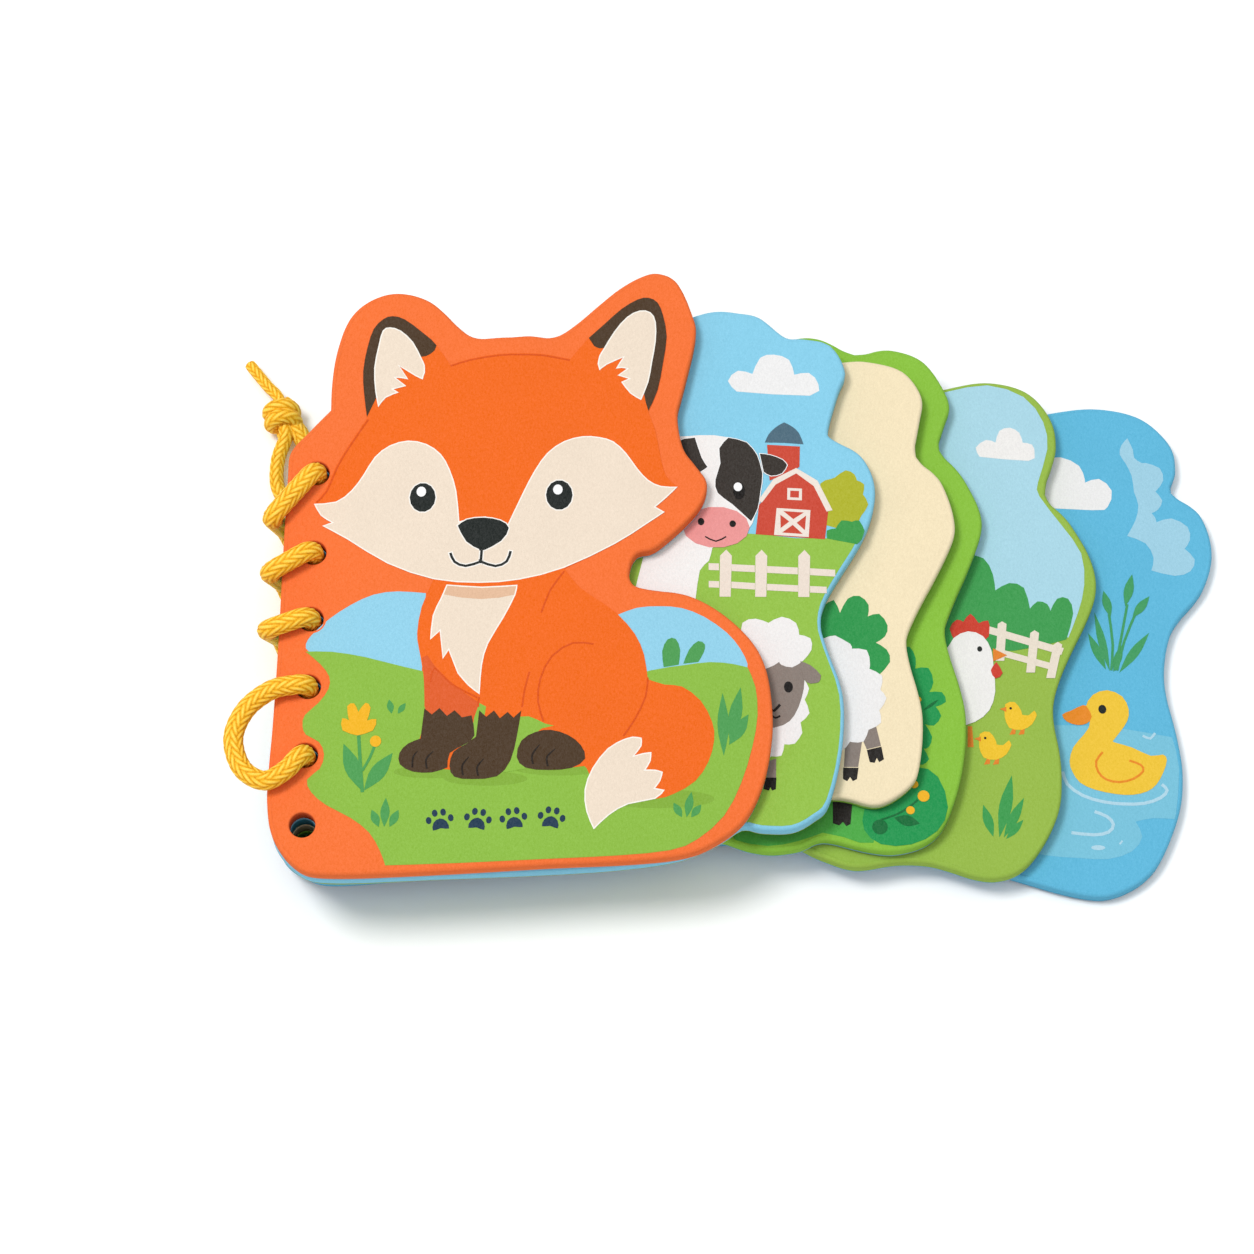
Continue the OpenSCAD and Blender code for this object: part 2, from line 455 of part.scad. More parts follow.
module sheep_face() {
  color("#8C8078") {
    ink(cow, 2) polygon(runs([
      [[116, 48], [124, 49]], [[131, 48.4], [131.8, 43], [131, 38], [129, 33], [126, 30.2], [121, 29.6], [117, 34]]]));
    ink(cow, 4) polygon(runs([[[130.8, 48.4], [133.5, 47.2], [136.2, 44.4]], [[135.6, 42.4], [133.4, 42], [131.6, 43.4]]]));
    ink(cow, 1) polygon([[121.4, 15.4], [121.8, 20], [124, 20.8], [123.9, 15.4]]);
  }
}

// Cream leaf print
module cream_bush() {
  color("#2F9B4E") ink(cream, 0) polygon(runs([
    [[131, 44], [131, 62], [135, 68]], [[137.5, 66.5], [140.4, 68.4]], [[142, 64.6], [144.2, 68.8], [147.4, 69.6], [149.8, 67]],
    [[149.5, 63.6], [152.6, 64.4], [154.8, 61], [154, 57.8]], [[151.5, 56], [154.4, 54], [155.2, 50.4]], [[152, 46.5], [144, 42]]]));
}
module lamb_wool() {
  color("#F3F1F0") ink(cream, 1) polygon(runs([
    [[131, 52], [137, 57]], [[140.6, 58], [144.6, 55.6]], [[145, 54.2], [149, 53.8], [149.8, 50]],
    [[149.6, 48.4], [153, 46.4], [152.6, 43]], [[152.4, 42.4], [154, 40], [152.4, 37]], [[152, 36.6], [152.4, 33], [149.6, 31.2]],
    [[149, 31], [147.6, 27.6], [144.6, 27.4]], [[144, 27.6], [141, 24.4], [134, 25]], [[131, 30]]]));
}
module lamb_legs() {
  color("#8C8078") {
    ink(cream, 0) polygon([[142.2, 20.4], [142.8, 28.4], [147.4, 29], [146, 20.4]]);
    ink(cream, 0) polygon([[148.4, 25.4], [146.6, 30], [150.8, 33], [152.2, 26.4]]);
  }
}
module lamb_hooves() {
  color("#26221F") {
    ink(cream, 0) polygon([[142, 20.2], [146.1, 20.2], [145.6, 17], [144.5, 16.4], [143.8, 17.6], [143, 16.4], [141.9, 17]]);
    ink(cream, 0) polygon([[148.4, 25.2], [152.3, 26.2], [152.9, 22.6], [151.6, 21.8], [151, 23], [150.4, 21.6], [149.1, 21.8]]);
  }
}

// Hedge leaf print
module hedge_field() {
  color("#4FAE48") ink(hedge, 0) polygon(runs([
    [[112, 4], [113.6, 1.6], [122, 0], [130, 1.4]], [[136.6, 3.8], [142, 2.6], [150, 1], [150, 12]], [[146, 24]], [[112, 20]]]));
}
module hedge_bush() {
  color("#1F9A52") {
    ink(hedge, 1) polygon(loop([[161.5, 22.4], [167.6, 19.6], [170, 11], [167, 4.4], [160, 0.6], [152, 0.6],
      [147.6, 4.6], [147.8, 10.4], [152, 18]]));
    ink(hedge, 0) polygon(runs([
      [[158, 56], [161, 57], [162.6, 53.6]], [[162.4, 50.6], [166, 50.8], [167.2, 46.6]], [[166, 43.8], [169.4, 43.8], [170.4, 41]],
      [[167.6, 39.6], [169, 37], [167, 34.2]], [[164.6, 34.6], [166.4, 31], [165.4, 28]], [[164, 27.6], [165.4, 24.6]],
      [[163.6, 23]], [[158, 24]]]));
  }
}
module hedge_vine() {
  color("#12703A") {
    ink(hedge, 2) polygon(oval([151.8, 5.4], 2.1, 2.1));
    ink(hedge, 2) polygon(leaf([155.6, 8], [162.4, 6.4], 3));
    ink(hedge, 3) polygon(stroke([[152, 7.4], [156, 8.8], [159.4, 10.8], [162, 13]], 0.5));
    ink(hedge, 2) polygon(leaf([164.4, 38.6], [168.4, 41.6], 0.8));
  }
}
module hedge_berries() {
  color("#F6B922")
    for (c = [[163.6, 14.1, 1.6], [161.2, 17.4, 1.1], [160, 10.1, 1.15], [163, 41.6, 0.8]])
      ink(hedge, 4) polygon(oval([c[0], c[1]], c[2], c[2]));
}
module hedge_hoof() {
  color("#26221F") ink(hedge, 1) polygon([[139.4, 12.6], [144.6, 12], [144, 6.2], [142.9, 5.6],
    [142, 6.8], [141, 5.8], [139.3, 6.4]]);
}

// Hen leaf print
module hen_sky() {
  color("#AEDCEC") ink(hen, 0) polygon(runs([
    [[168, 134.6], [174.5, 136.4], [185.5, 138.4], [195.6, 134.8], [200.8, 127], [201.6, 118.6], [198.6, 108.5],
      [198.8, 104.2], [204.6, 95.4], [209.6, 87], [210, 77.5], [208, 69.5]],
    [[205, 62], [190, 64], [168, 70]], [[160, 90]], [[160, 125]]]));
}
module hen_plants() {
  color("#3FA052") ink(hen, 1) polygon(runs([
    [[166, 74], [172, 84], [177, 86.4], [182.6, 85.4], [185, 80.6]], [[185.5, 75.8], [189.4, 78], [193.4, 76.6]],
    [[194.8, 70.4], [197, 72.6], [199.6, 71.8]], [[200.4, 69.8], [202.4, 73.4], [205.4, 73.4], [206.6, 69]],
    [[204.4, 61.4], [190, 58]], [[166, 58]]]));
  color("#3FA052")
    for (l = [[[184, 4.4], [188, 22], 3.4], [[182.4, 4.6], [180, 13.6], 2.6], [[185.2, 4.4], [191, 15.6], 2.6],
        [[185.8, 4], [190.6, 9.4], 2]])
      ink(hen, 0) polygon(leaf(l[0], l[1], l[2]));
}
module hen_fence() {
  color("#EEE3D2") {
    ink(hen, 2) polygon([[182, 65.6], [203.6, 58.8], [202.8, 56.8], [182, 63.4]]);
    ink(hen, 2) polygon([[185, 58.8], [201.2, 54], [200.6, 52.2], [185, 56.8]]);
    for (p = [[187, 66.6, 185.8, 55], [195.8, 64, 194, 51.6], [202, 60.6, 199.4, 50]])
      ink(hen, 3) polygon([[p[0] - 1.2, p[1] - 0.8], [p[0], p[1]], [p[0] + 1.2, p[1] - 0.8], [p[2] + 1.4, p[3]], [p[2] - 1, p[3]]]);
  }
}
module hen_body() {
  color("#F4F2F0") ink(hen, 1) polygon(runs([
    [[182.6, 116.2], [181.6, 119], [184.6, 121.4]], [[187.2, 120.6], [188.4, 124.2], [191.4, 125.2], [194, 123.6]],
    [[194.8, 120.6], [197.4, 120], [198, 117.2], [196.2, 115]]]));
  color("#F4F2F0") ink(hen, 4) polygon(runs([
    [[166, 56], [171, 57.6], [173.6, 61.6], [177.6, 63.6], [181.6, 62.2], [183.8, 58], [184.2, 52.5], [184.4, 46],
      [182.6, 40.6], [178.6, 37.2]], [[172, 35], [166, 40]]]));
}
module hen_comb() {
  color("#D2412F") {
    ink(hen, 3) polygon(runs([[[174, 60.6], [172.6, 64.4], [174.6, 67]], [[176.4, 66.4], [178.4, 68.8], [180.2, 66.6]],
      [[180.6, 66], [183.2, 66.8], [183.4, 63.6], [182, 61]]]));
    ink(hen, 5) polygon(runs([[[185, 54.6], [183.4, 52.2], [184.6, 49.8], [186.6, 51.4]]]));
  }
}
module chick(c) {
  ink(hen, 1) polygon(runs([
    [c + [-1.5, 0.6], c + [-1.2, 4.4], c + [1.4, 5], c + [3, 2.6]], [c + [3.2, 1.4], c + [5, 1.2], c + [6.6, 2.6]],
    [c + [7.2, 1.2], c + [5.8, -1.4], c + [3, -3], c + [-0.4, -2.4]]]));
}
module chicks() {
  color("#F6C92E") {
    chick([188.2, 38]);
    chick([181, 29.4]);
  }
}
module hen_beaks() {
  color("#E8862B") {
    ink(hen, 5) polygon([[184.2, 58.6], [188, 56.6], [184.2, 54.8]]);
    for (c = [[188.2, 38], [181, 29.4]]) {
      ink(hen, 2) polygon([c + [-1, 3.6], c + [-2.8, 3], c + [-1, 2.2]]);
      for (x = [0.6, 3])
        ink(hen, 0) polygon([c + [x, -2.4], c + [x - 1, -4.4], c + [x + 0.6, -4.2], c + [x + 0.8, -2.6]]);
    }
    ink(hen, 0) polygon([[176.6, 36], [176.4, 30], [178, 30], [177.8, 36]]);
  }
}
module hen_eyes() {
  color("#1E2422") {
    ink(hen, 5) polygon(oval([180.6, 58.4], 0.7, 0.8));
    for (c = [[188.2, 38], [181, 29.4]])
      ink(hen, 2) polygon(oval(c + [0.2, 3.2], 0.35, 0.35));
  }
}

// Pond board print
module pond_clouds() {
  color("#F2F2F2") ink(back, 0) polygon(runs([
    [[192, 103.6], [191, 108], [196, 112]], [[199, 112], [201, 117.4], [206, 118.6], [211, 116], [212.4, 112]],
    [[212.4, 110.8], [216.4, 112], [219.8, 108.4], [218.4, 103.4], [214, 102.4]]]));
}
module pond_haze() {
  color("#A3D5EA") ink(back, 0) polygon(runs([
    [[225, 124.6], [226.4, 121], [226.6, 118.6], [228.5, 117]], [[229.6, 117], [233.6, 115.4], [234.4, 111.6], [232.4, 108.6]],
    [[232, 108.2], [233.8, 105.4], [232.4, 102.6]], [[230.6, 101.6], [231.6, 100]], [[231.8, 98.8], [236, 100], [240.4, 97.4], [240.8, 93.4]],
    [[239.2, 90.8], [241.8, 87.6], [240.4, 84], [236, 82.6]], [[229.6, 84.2], [230.4, 88], [228.4, 92.4]],
    [[223.4, 94.6], [226, 99.4], [227, 104]], [[226, 108], [225.6, 113], [224, 117], [222.6, 119.6], [223.2, 122.4]]]));
}
module pond_water() {
  color("#7CC8E2") ink(back, 0) polygon(runs([
    [[185, 38.6], [201, 38.4], [210, 38.2], [219.5, 37.4]], [[232.6, 35], [234, 26], [232.4, 13]],
    [[231.6, 11.6], [226, 11.8]], [[221.4, 10.8], [223, 6.6], [220, 2.4], [213.5, 0.2], [205.5, 0.5], [197, 1.2]], [[185, 4]]]));
}
module pond_reeds() {
  color("#44A064") {
    for (l = [[[215.6, 54.6], [211.2, 65.4], 2.4], [[216.6, 54.2], [213.2, 71.6], 2.2], [[219.2, 53.8], [228, 65.6], 2.6],
        [[217.6, 54], [220.4, 62], 2.2]])
      ink(back, 0) polygon(leaf(l[0], l[1], l[2]));
    for (s = [[[217, 54.4], [217.8, 62], [217.2, 71]], [[218, 54.4], [220.2, 64], [222.4, 74]], [[218.6, 54.4], [221, 63], [224.4, 71]]])
      ink(back, 1) polygon(stroke(s, 0.7));
    for (l = [[[217.6, 70.2], [216, 78], 2.4], [[221.8, 73.4], [224.2, 83], 2.6], [[223.6, 70], [228.6, 76.4], 2.4]])
      ink(back, 2) polygon(leaf(l[0], l[1], l[2]));
  }
}
module pond_ripples() {
  color("#B5DDEE") {
    ink(back, 1) polygon(stroke([[202.4, 25], [203.5, 21.4], [207.5, 18.2], [213, 16.4], [218.5, 15.8], [224, 16],
      [228.5, 17.6], [230.4, 19.8], [229, 21.4]], 0.9));
    ink(back, 1) polygon(stroke([[210.5, 13.6], [213.8, 12.2], [215.4, 10], [214, 7.8], [210, 7], [204, 7.6]], 0.9));
    ink(back, 1) polygon(oval([211, 3.4], 1.9, 0.7));
    ink(back, 1) polygon(stroke([[224.6, 35.4], [226.6, 34.6], [228, 36.2]], 0.7));
    ink(back, 1) polygon(stroke([[216.8, 4.4], [217.6, 5.4]], 0.5));
  }
}
module duck_body() {
  color("#F6CB3A") ink(back, 2) polygon(runs([
    [[210, 37.6], [208.5, 35.5], [205.6, 32], [204.4, 28], [205, 25], [207, 21.8], [211, 19.8], [216.5, 18.6], [221, 18.4],
      [225, 19.4], [227.6, 21.4], [229.6, 24.8], [230.8, 28.4], [229.8, 30], [226.5, 29.6], [221.5, 32], [217, 33.4]],
    [[216.4, 33.8], [218.6, 36.6], [220.6, 39.6], [221.2, 43], [219.6, 46.8], [215.6, 48.6], [211.6, 47.2], [209.4, 43.4], [210.4, 39.6]]]));
}
module duck_bill() {
  color("#EF8F25") {
    ink(back, 3) polygon(loop([[203, 41.4], [205.5, 42.6], [208.8, 44.2], [210, 43.4], [211, 40.8], [209.6, 38.9], [207, 38.4], [204.2, 39.4]]));
    ink(back, 3) polygon(stroke([[213.5, 30.6], [211.6, 28], [212, 25], [214, 22.8], [217.6, 22], [221.5, 23],
      [224.2, 25.2], [223.6, 27], [220.6, 28.2]], 0.6));
  }
}
module duck_details() {
  color("#1E2422") {
    ink(back, 3) polygon(oval([214, 43], 1.1, 1.3));
  }
}

// Lacing: corner points of the route, each rounded over the length that stands last in its row
bend = 3.5;
slack = 0.3;
front_z = stack_h + slack + cord_d / 2;
rear_z = -slack - cord_d / 2;
wrap_x = -8.6 * drawn_scale - slack - cord_d / 2;
// The turns around the spine lean towards the top by this much on their way down
lean = 12.5;
lacing_start = [-8, 105, rear_z];
start_way = unit([0, hole_y[5], rear_z] - lacing_start);
lacing_route = [
  concat(lacing_start, [0]),
  [0, hole_y[5], rear_z, bend], [0, hole_y[5], front_z, bend],
  [wrap_x, 86, front_z, bend], [wrap_x, 86 + lean, rear_z, bend],
  [0, hole_y[4], rear_z, bend], [0, hole_y[4], front_z, bend],
  [wrap_x, 70, front_z, bend], [wrap_x, 70 + lean, rear_z, bend],
  [0, hole_y[3], rear_z, bend], [0, hole_y[3], front_z, bend],
  [wrap_x, 53.5, front_z, bend], [wrap_x, 53.5 + lean, rear_z, bend],
  [0, hole_y[2], rear_z, bend], [0, hole_y[2], front_z, bend],
  [-9, 36.5, front_z, 1], [-15, 32.5, 32.6, 1], [-18.2, 27, 31.2, 1], [-18.4, 21.5, 31, 1],
  [-15.6, 14.8, 32.2, 1], [-10, 11, front_z, 1], [-4.8, 13.8, front_z, 1],
  [0, hole_y[1], front_z, bend], [0, hole_y[1], rear_z, bend],
  [6, 26, rear_z, 1], [7.5, 34, rear_z, 1], [7.5, 64, rear_z, 1], [7.5, 94, rear_z, 1],
  [4.6, 107, rear_z, 1], [-2.2, 118, rear_z, 1], [-7.6, 126.6, -1.8, 0]];
knot_at = [-13.8, 132.6, -0.4];
knot_turn = 12;
knot_way = [-sin(knot_turn), cos(knot_turn), 0];
end_route = [
  lacing_start, lacing_start - 4 * start_way, [-14.6, 112.6, rear_z], [-14.6, 120, -2],
  knot_at - knot_way * 6, knot_at, knot_at + knot_way * 6, [-18.6, 143, -1.6], [-24, 150.4, -3.3]];

function at(p) = [p[0], p[1], p[2]];
// An arc that is tangent to both legs of a corner
function corner(a, b, c, cut, steps) = let (
    u = unit(a - b),
    v = unit(c - b),
    turn = 180 - acos(u * v),
    r = cut / tan(turn / 2),
    n = unit(v - (v * u) * u),
    s = b + u * cut,
    m = s + n * r)
  [for (k = [0:steps]) m - n * r * cos(turn * k / steps) - u * r * sin(turn * k / steps)];
function route(p) = concat([at(p[0])],
  [for (i = [1:len(p) - 2]) each p[i][3] >= bend ? corner(at(p[i - 1]), at(p[i]), at(p[i + 1]), p[i][3], 3) :
    [at(p[i])]],
  [at(p[len(p) - 1])]);
function way(q, i) = unit(q[min(i + 1, len(q) - 1)] - q[max(i - 1, 0)]);
function carry(q, i, n) = i >= len(q) ? [] :
  let (t = way(q, i), m = unit(n - (n * t) * t)) concat([m], carry(q, i + 1, m));

module tube(q, d, sides) {
  n = carry(q, 0, [0.1, 0.3, 1]);
  points = [for (i = [0:len(q) - 1]) let (t = way(q, i), m = cross(t, n[i]))
    for (k = [0:sides - 1]) q[i] + (n[i] * cos(360 * k / sides) + m * sin(360 * k / sides)) * d / 2];
  last = (len(q) - 1) * sides;
  walls = [for (i = [0:len(q) - 2]) for (k = [0:sides - 1]) let (a = i * sides, j = (k + 1) % sides)
    each [[a + k, a + sides + k, a + j], [a + j, a + sides + k, a + sides + j]]];
  polyhedron(concat([], points), concat(walls, [[for (k = [0:sides - 1]) k]],
    [[for (k = [sides - 1:-1:0]) last + k]]), convexity = 10);
}

module lacing_cord() {
  color("#F2B51D") tube(route(lacing_route), cord_d, 10);
}
module cord_end() {
  color("#F2B51D") tube(end_route, free_d, 10);
}
module cord_knot() {
  inner = free_d / 2 + knot_clear;
  outer = knot_d / 2;
  color("#F2B51D")
    translate(knot_at)
      rotate([-90, 0, knot_turn])
        rotate_extrude($fn = 48)
          polygon([[inner, -knot_l / 2], [outer - 1.6, -knot_l / 2], [outer - 0.4, -knot_l / 4],
            [outer, 0], [outer - 0.4, knot_l / 4], [outer - 1.6, knot_l / 2], [inner, knot_l / 2]]);
}

back_board();
hen_leaf();
hedge_leaf();
cream_leaf();
cow_leaf();
front_cover();
lacing_cord();
cord_end();
cord_knot();
cover_sky();
cover_meadow();
cover_plants();
cover_flowers();
cover_paw_prints();
fox_coat();
fox_cream();
fox_brown();
fox_lines();
fox_black();
fox_highlights();
cow_meadow();
cow_cloud();
cow_trees();
cow_bush();
barn_red();
barn_trim();
silo_roof();
cow_fence();
cow_body();
cow_patches();
cow_muzzle();
cow_details();
sheep_wool();
sheep_face();
cream_bush();
lamb_wool();
lamb_legs();
lamb_hooves();
hedge_field();
hedge_bush();
hedge_vine();
hedge_berries();
hedge_hoof();
hen_sky();
hen_plants();
hen_body();
hen_fence();
hen_comb();
chicks();
hen_beaks();
hen_eyes();
pond_clouds();
pond_haze();
pond_water();
pond_reeds();
pond_ripples();
duck_body();
duck_bill();
duck_details();
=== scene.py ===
import math

import bmesh
import bpy
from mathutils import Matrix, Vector


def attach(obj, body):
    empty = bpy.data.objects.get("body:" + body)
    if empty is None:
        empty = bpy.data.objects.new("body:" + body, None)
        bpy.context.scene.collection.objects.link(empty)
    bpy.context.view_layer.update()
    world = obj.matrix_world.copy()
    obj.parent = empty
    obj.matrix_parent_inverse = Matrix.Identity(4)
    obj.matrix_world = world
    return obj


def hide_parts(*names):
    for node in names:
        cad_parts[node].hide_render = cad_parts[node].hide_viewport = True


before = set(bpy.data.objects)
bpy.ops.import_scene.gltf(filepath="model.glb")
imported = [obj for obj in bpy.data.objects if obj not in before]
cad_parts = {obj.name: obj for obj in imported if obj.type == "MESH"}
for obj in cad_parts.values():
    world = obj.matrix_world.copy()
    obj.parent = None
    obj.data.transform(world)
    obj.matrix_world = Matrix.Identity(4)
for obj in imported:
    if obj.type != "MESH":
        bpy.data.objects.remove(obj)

bl_info = {
    "name": "Laced cloth board book",
    "blender": (4, 5, 0),
    "version": (1, 0, 0),
    "location": "View3D > Sidebar > Board Book",
    "description": "Builds the looks of a laced cloth board book around its packed part",
    "category": "Object",
}

# Sizes that the part and this scene share are in millimetres, and MM turns them into metres
MM = 0.001
BOARD_T = 5.0
LEVEL_H = 5.3
FOAM_T = 4.7
BOARDS = ["back_board", "hen_leaf", "hedge_leaf", "cream_leaf", "cow_leaf", "front_cover"]
BODIES = ["base", "hen_turn", "hedge_turn", "cream_turn", "cow_turn", "cover_turn"]
HOLE_Y = [0.0, 19.3, 38.6, 57.9, 77.2, 100.7]
STACK_H = 5 * LEVEL_H + BOARD_T
BEND = 3.5


class BoardBookProperties(bpy.types.PropertyGroup):
    """Sizes and colours of the book."""

    edge_round: bpy.props.FloatProperty(
        name="Edge rounding", description="Radius of a board's outer edge",
        default=0.0011, min=0.0002, max=0.002, unit="LENGTH")
    rim_width: bpy.props.FloatProperty(
        name="Hole rim", description="Width of the pressed rim around a lacing hole",
        default=0.0009, min=0.0003, max=0.0015, unit="LENGTH")
    cord_diameter: bpy.props.FloatProperty(
        name="Cord diameter", description="Diameter of the laced cord",
        default=0.0054, min=0.003, max=0.0056, unit="LENGTH")
    free_diameter: bpy.props.FloatProperty(
        name="Free end diameter", description="Diameter of the cord's free end",
        default=0.004, min=0.0025, max=0.0044, unit="LENGTH")
    braid_depth: bpy.props.FloatProperty(
        name="Braid depth", description="Depth of the grooves between the cord's strands",
        default=0.00034, min=0.0, max=0.0006, unit="LENGTH")
    cord_colour: bpy.props.FloatVectorProperty(
        name="Cord", description="Colour of the cord", subtype="COLOR",
        size=4, default=(1.0, 0.50, 0.016, 1.0), min=0.0, max=1.0)
    border_colour: bpy.props.FloatVectorProperty(
        name="Cover border", description="Colour of the front cover's cloth", subtype="COLOR",
        size=4, default=(0.95, 0.178, 0.034, 1.0), min=0.0, max=1.0)
    floor_colour: bpy.props.FloatVectorProperty(
        name="Floor", description="Colour of the floor", subtype="COLOR",
        size=4, default=(0.96, 0.96, 0.96, 1.0), min=0.0, max=1.0)


def props():
    return bpy.context.scene.board_book


def linear(code):
    """A linear colour from six hexadecimal digits."""
    part = [int(code[k:k + 2], 16) / 255 for k in (0, 2, 4)]
    return tuple(c / 12.92 if c <= 0.04045 else ((c + 0.055) / 1.055) ** 2.4 for c in part) + (1.0,)


def shade(colour, k):
    return tuple(min(1.0, c * k) for c in colour[:3]) + (1.0,)


# The studio light is strong, so that the floor washes out, and the dyes are this much deeper for it
DYE = 0.87


# Materials

def node(tree, kind, **inputs):
    made = tree.nodes.new(kind)
    for name, value in inputs.items():
        made.inputs[name.replace("_", " ")].default_value = value
    return made


def math_node(tree, operation, a, b=None, c=None):
    made = tree.nodes.new("ShaderNodeMath")
    made.operation = operation
    for k, value in enumerate([a, b, c]):
        if value is None:
            continue
        if isinstance(value, (int, float)):
            made.inputs[k].default_value = value
        else:
            tree.links.new(value, made.inputs[k])
    return made.outputs[0]


def new_material(name):
    material = bpy.data.materials.new(name)
    material.use_nodes = True
    tree = material.node_tree
    tree.nodes.clear()
    out = tree.nodes.new("ShaderNodeOutputMaterial")
    skin = tree.nodes.new("ShaderNodeBsdfPrincipled")
    tree.links.new(skin.outputs[0], out.inputs[0])
    return material, tree, skin


def felt(name, colour, grain=0.085, bump=0.30, rough=0.93):
    """Short napped cloth: a fine grain of lighter and darker fibres over an even colour."""
    colour = shade(colour, DYE)
    material, tree, skin = new_material(name)
    where = tree.nodes.new("ShaderNodeTexCoord")
    turned = node(tree, "ShaderNodeMapping", Rotation=(0.0, 0.0, 0.6), Scale=(1.0, 0.55, 1.0))
    tree.links.new(where.outputs["Object"], turned.inputs["Vector"])
    fine = node(tree, "ShaderNodeTexNoise", Scale=3600.0, Detail=2.0, Roughness=0.6)
    fibre = node(tree, "ShaderNodeTexNoise", Scale=2300.0, Detail=1.0, Roughness=0.5, Distortion=0.8)
    broad = node(tree, "ShaderNodeTexNoise", Scale=60.0, Detail=2.0)
    tree.links.new(where.outputs["Object"], fine.inputs["Vector"])
    tree.links.new(turned.outputs[0], fibre.inputs["Vector"])
    tree.links.new(where.outputs["Object"], broad.inputs["Vector"])
    both = math_node(tree, "ADD", fine.outputs["Fac"], fibre.outputs["Fac"])
    level = math_node(tree, "MULTIPLY_ADD", both, 1.5, -1.0)
    clamp = tree.nodes.new("ShaderNodeClamp")
    tree.links.new(level, clamp.inputs[0])
    ramp = tree.nodes.new("ShaderNodeMix")
    ramp.data_type = "RGBA"
    ramp.inputs["A"].default_value = shade(colour, 1.0 - grain)
    lighter = tuple(c + (1.0 - c) * grain * 0.30 + c * grain * 0.4 for c in colour[:3])
    ramp.inputs["B"].default_value = lighter + (1.0,)
    tree.links.new(clamp.outputs[0], ramp.inputs["Factor"])
    cloud = tree.nodes.new("ShaderNodeMix")
    cloud.data_type = "RGBA"
    cloud.blend_type = "MULTIPLY"
    cloud.inputs["Factor"].default_value = 0.06
    tree.links.new(ramp.outputs["Result"], cloud.inputs["A"])
    tree.links.new(broad.outputs["Fac"], cloud.inputs["B"])
    tree.links.new(cloud.outputs["Result"], skin.inputs["Base Color"])
    lift = node(tree, "ShaderNodeBump", Strength=bump, Distance=0.00012)
    tree.links.new(both, lift.inputs["Height"])
    tree.links.new(lift.outputs[0], skin.inputs["Normal"])
    skin.inputs["Roughness"].default_value = rough
    skin.inputs["Specular IOR Level"].default_value = 0.08
    return material


def braid_cloth_with_painted_light(name, colour):
    """Yarn of the braid: painted shade darkens the grooves and a painted highlight lightens the strands, with
    fine fibres.
    """
    colour = shade(colour, DYE)
    material, tree, skin = new_material(name)
    groove = tree.nodes.new("ShaderNodeAttribute")
    groove.attribute_name = "braid"
    where = tree.nodes.new("ShaderNodeTexCoord")
    fibre = node(tree, "ShaderNodeTexNoise", Scale=2600.0, Detail=3.0, Roughness=0.6)
    tree.links.new(where.outputs["Object"], fibre.inputs["Vector"])
    depth = math_node(tree, "MULTIPLY_ADD", fibre.outputs["Fac"], 0.7, -0.35)
    total = math_node(tree, "ADD", groove.outputs["Fac"], depth)
    ramp = tree.nodes.new("ShaderNodeValToRGB")
    stops = ramp.color_ramp.elements
    # painted shade: the low end of the ramp, for the grooves, darker and more orange
    stops[0].position = 0.15
    stops[0].color = shade((colour[0], colour[1] * 0.72, colour[2] * 0.5), 0.68)
    # painted highlight: the high end of the ramp, for the crowns of the strands, lighter and paler
    stops[1].position = 1.0
    stops[1].color = (1.0, min(1.0, colour[1] * 1.65), min(1.0, colour[2] * 9.0), 1.0)
    middle = stops.new(0.55)
    middle.color = colour
    tree.links.new(total, ramp.inputs[0])
    tree.links.new(ramp.outputs[0], skin.inputs["Base Color"])
    lift = node(tree, "ShaderNodeBump", Strength=0.3, Distance=0.0002)
    tree.links.new(fibre.outputs["Fac"], lift.inputs["Height"])
    tree.links.new(lift.outputs[0], skin.inputs["Normal"])
    skin.inputs["Roughness"].default_value = 0.6
    skin.inputs["Specular IOR Level"].default_value = 0.14
    return material


# Paths

def unit(v):
    return v / v.length


def corner(a, b, c, cut, steps):
    """Points on the arc that is tangent to both legs of the corner b."""
    u, v = unit(a - b), unit(c - b)
    turn = math.pi - u.angle(v)
    radius = cut / math.tan(turn / 2)
    inward = unit(v - u * u.dot(v))
    centre = b + u * cut + inward * radius
    return [centre - inward * radius * math.cos(turn * k / steps) - u * radius * math.sin(turn * k / steps)
            for k in range(steps + 1)]


def curve(points, step):
    """A smooth line through the points, with a point about every step."""
    made = []
    for i in range(len(points) - 1):
        a, b = points[max(i - 1, 0)], points[i]
        c, d = points[i + 1], points[min(i + 2, len(points) - 1)]
        count = max(1, math.ceil((c - b).length / step))
        for k in range(count):
            t = k / count
            made.append(0.5 * (2 * b + (c - a) * t + (2 * a - 5 * b + 4 * c - d) * t * t
                               + (3 * b - a - 3 * c + d) * t ** 3))
    made.append(points[-1].copy())
    return made


def even(points, step):
    """The same line with points at an even step."""
    length = [0.0]
    for a, b in zip(points, points[1:]):
        length.append(length[-1] + (b - a).length)
    count = max(2, round(length[-1] / step))
    made, k = [], 0
    for i in range(count + 1):
        s = length[-1] * i / count
        while k < len(points) - 2 and length[k + 1] < s:
            k += 1
        span = length[k + 1] - length[k]
        made.append(points[k].lerp(points[k + 1], (s - length[k]) / span if span else 0.0))
    return made


# The lacing's centreline lies half a cord and a little slack off the boards
CORD_R = 2.7
SLACK = 0.3
EDGE_X = -8.6
FRONT_Z = STACK_H + SLACK + CORD_R
REAR_Z = -SLACK - CORD_R
WRAP_X = EDGE_X - SLACK - CORD_R
LEAN = 12.5
LACING_START = Vector((-8.0, 105.0, REAR_Z))
START_WAY = unit(Vector((0.0, HOLE_Y[5], REAR_Z)) - LACING_START)

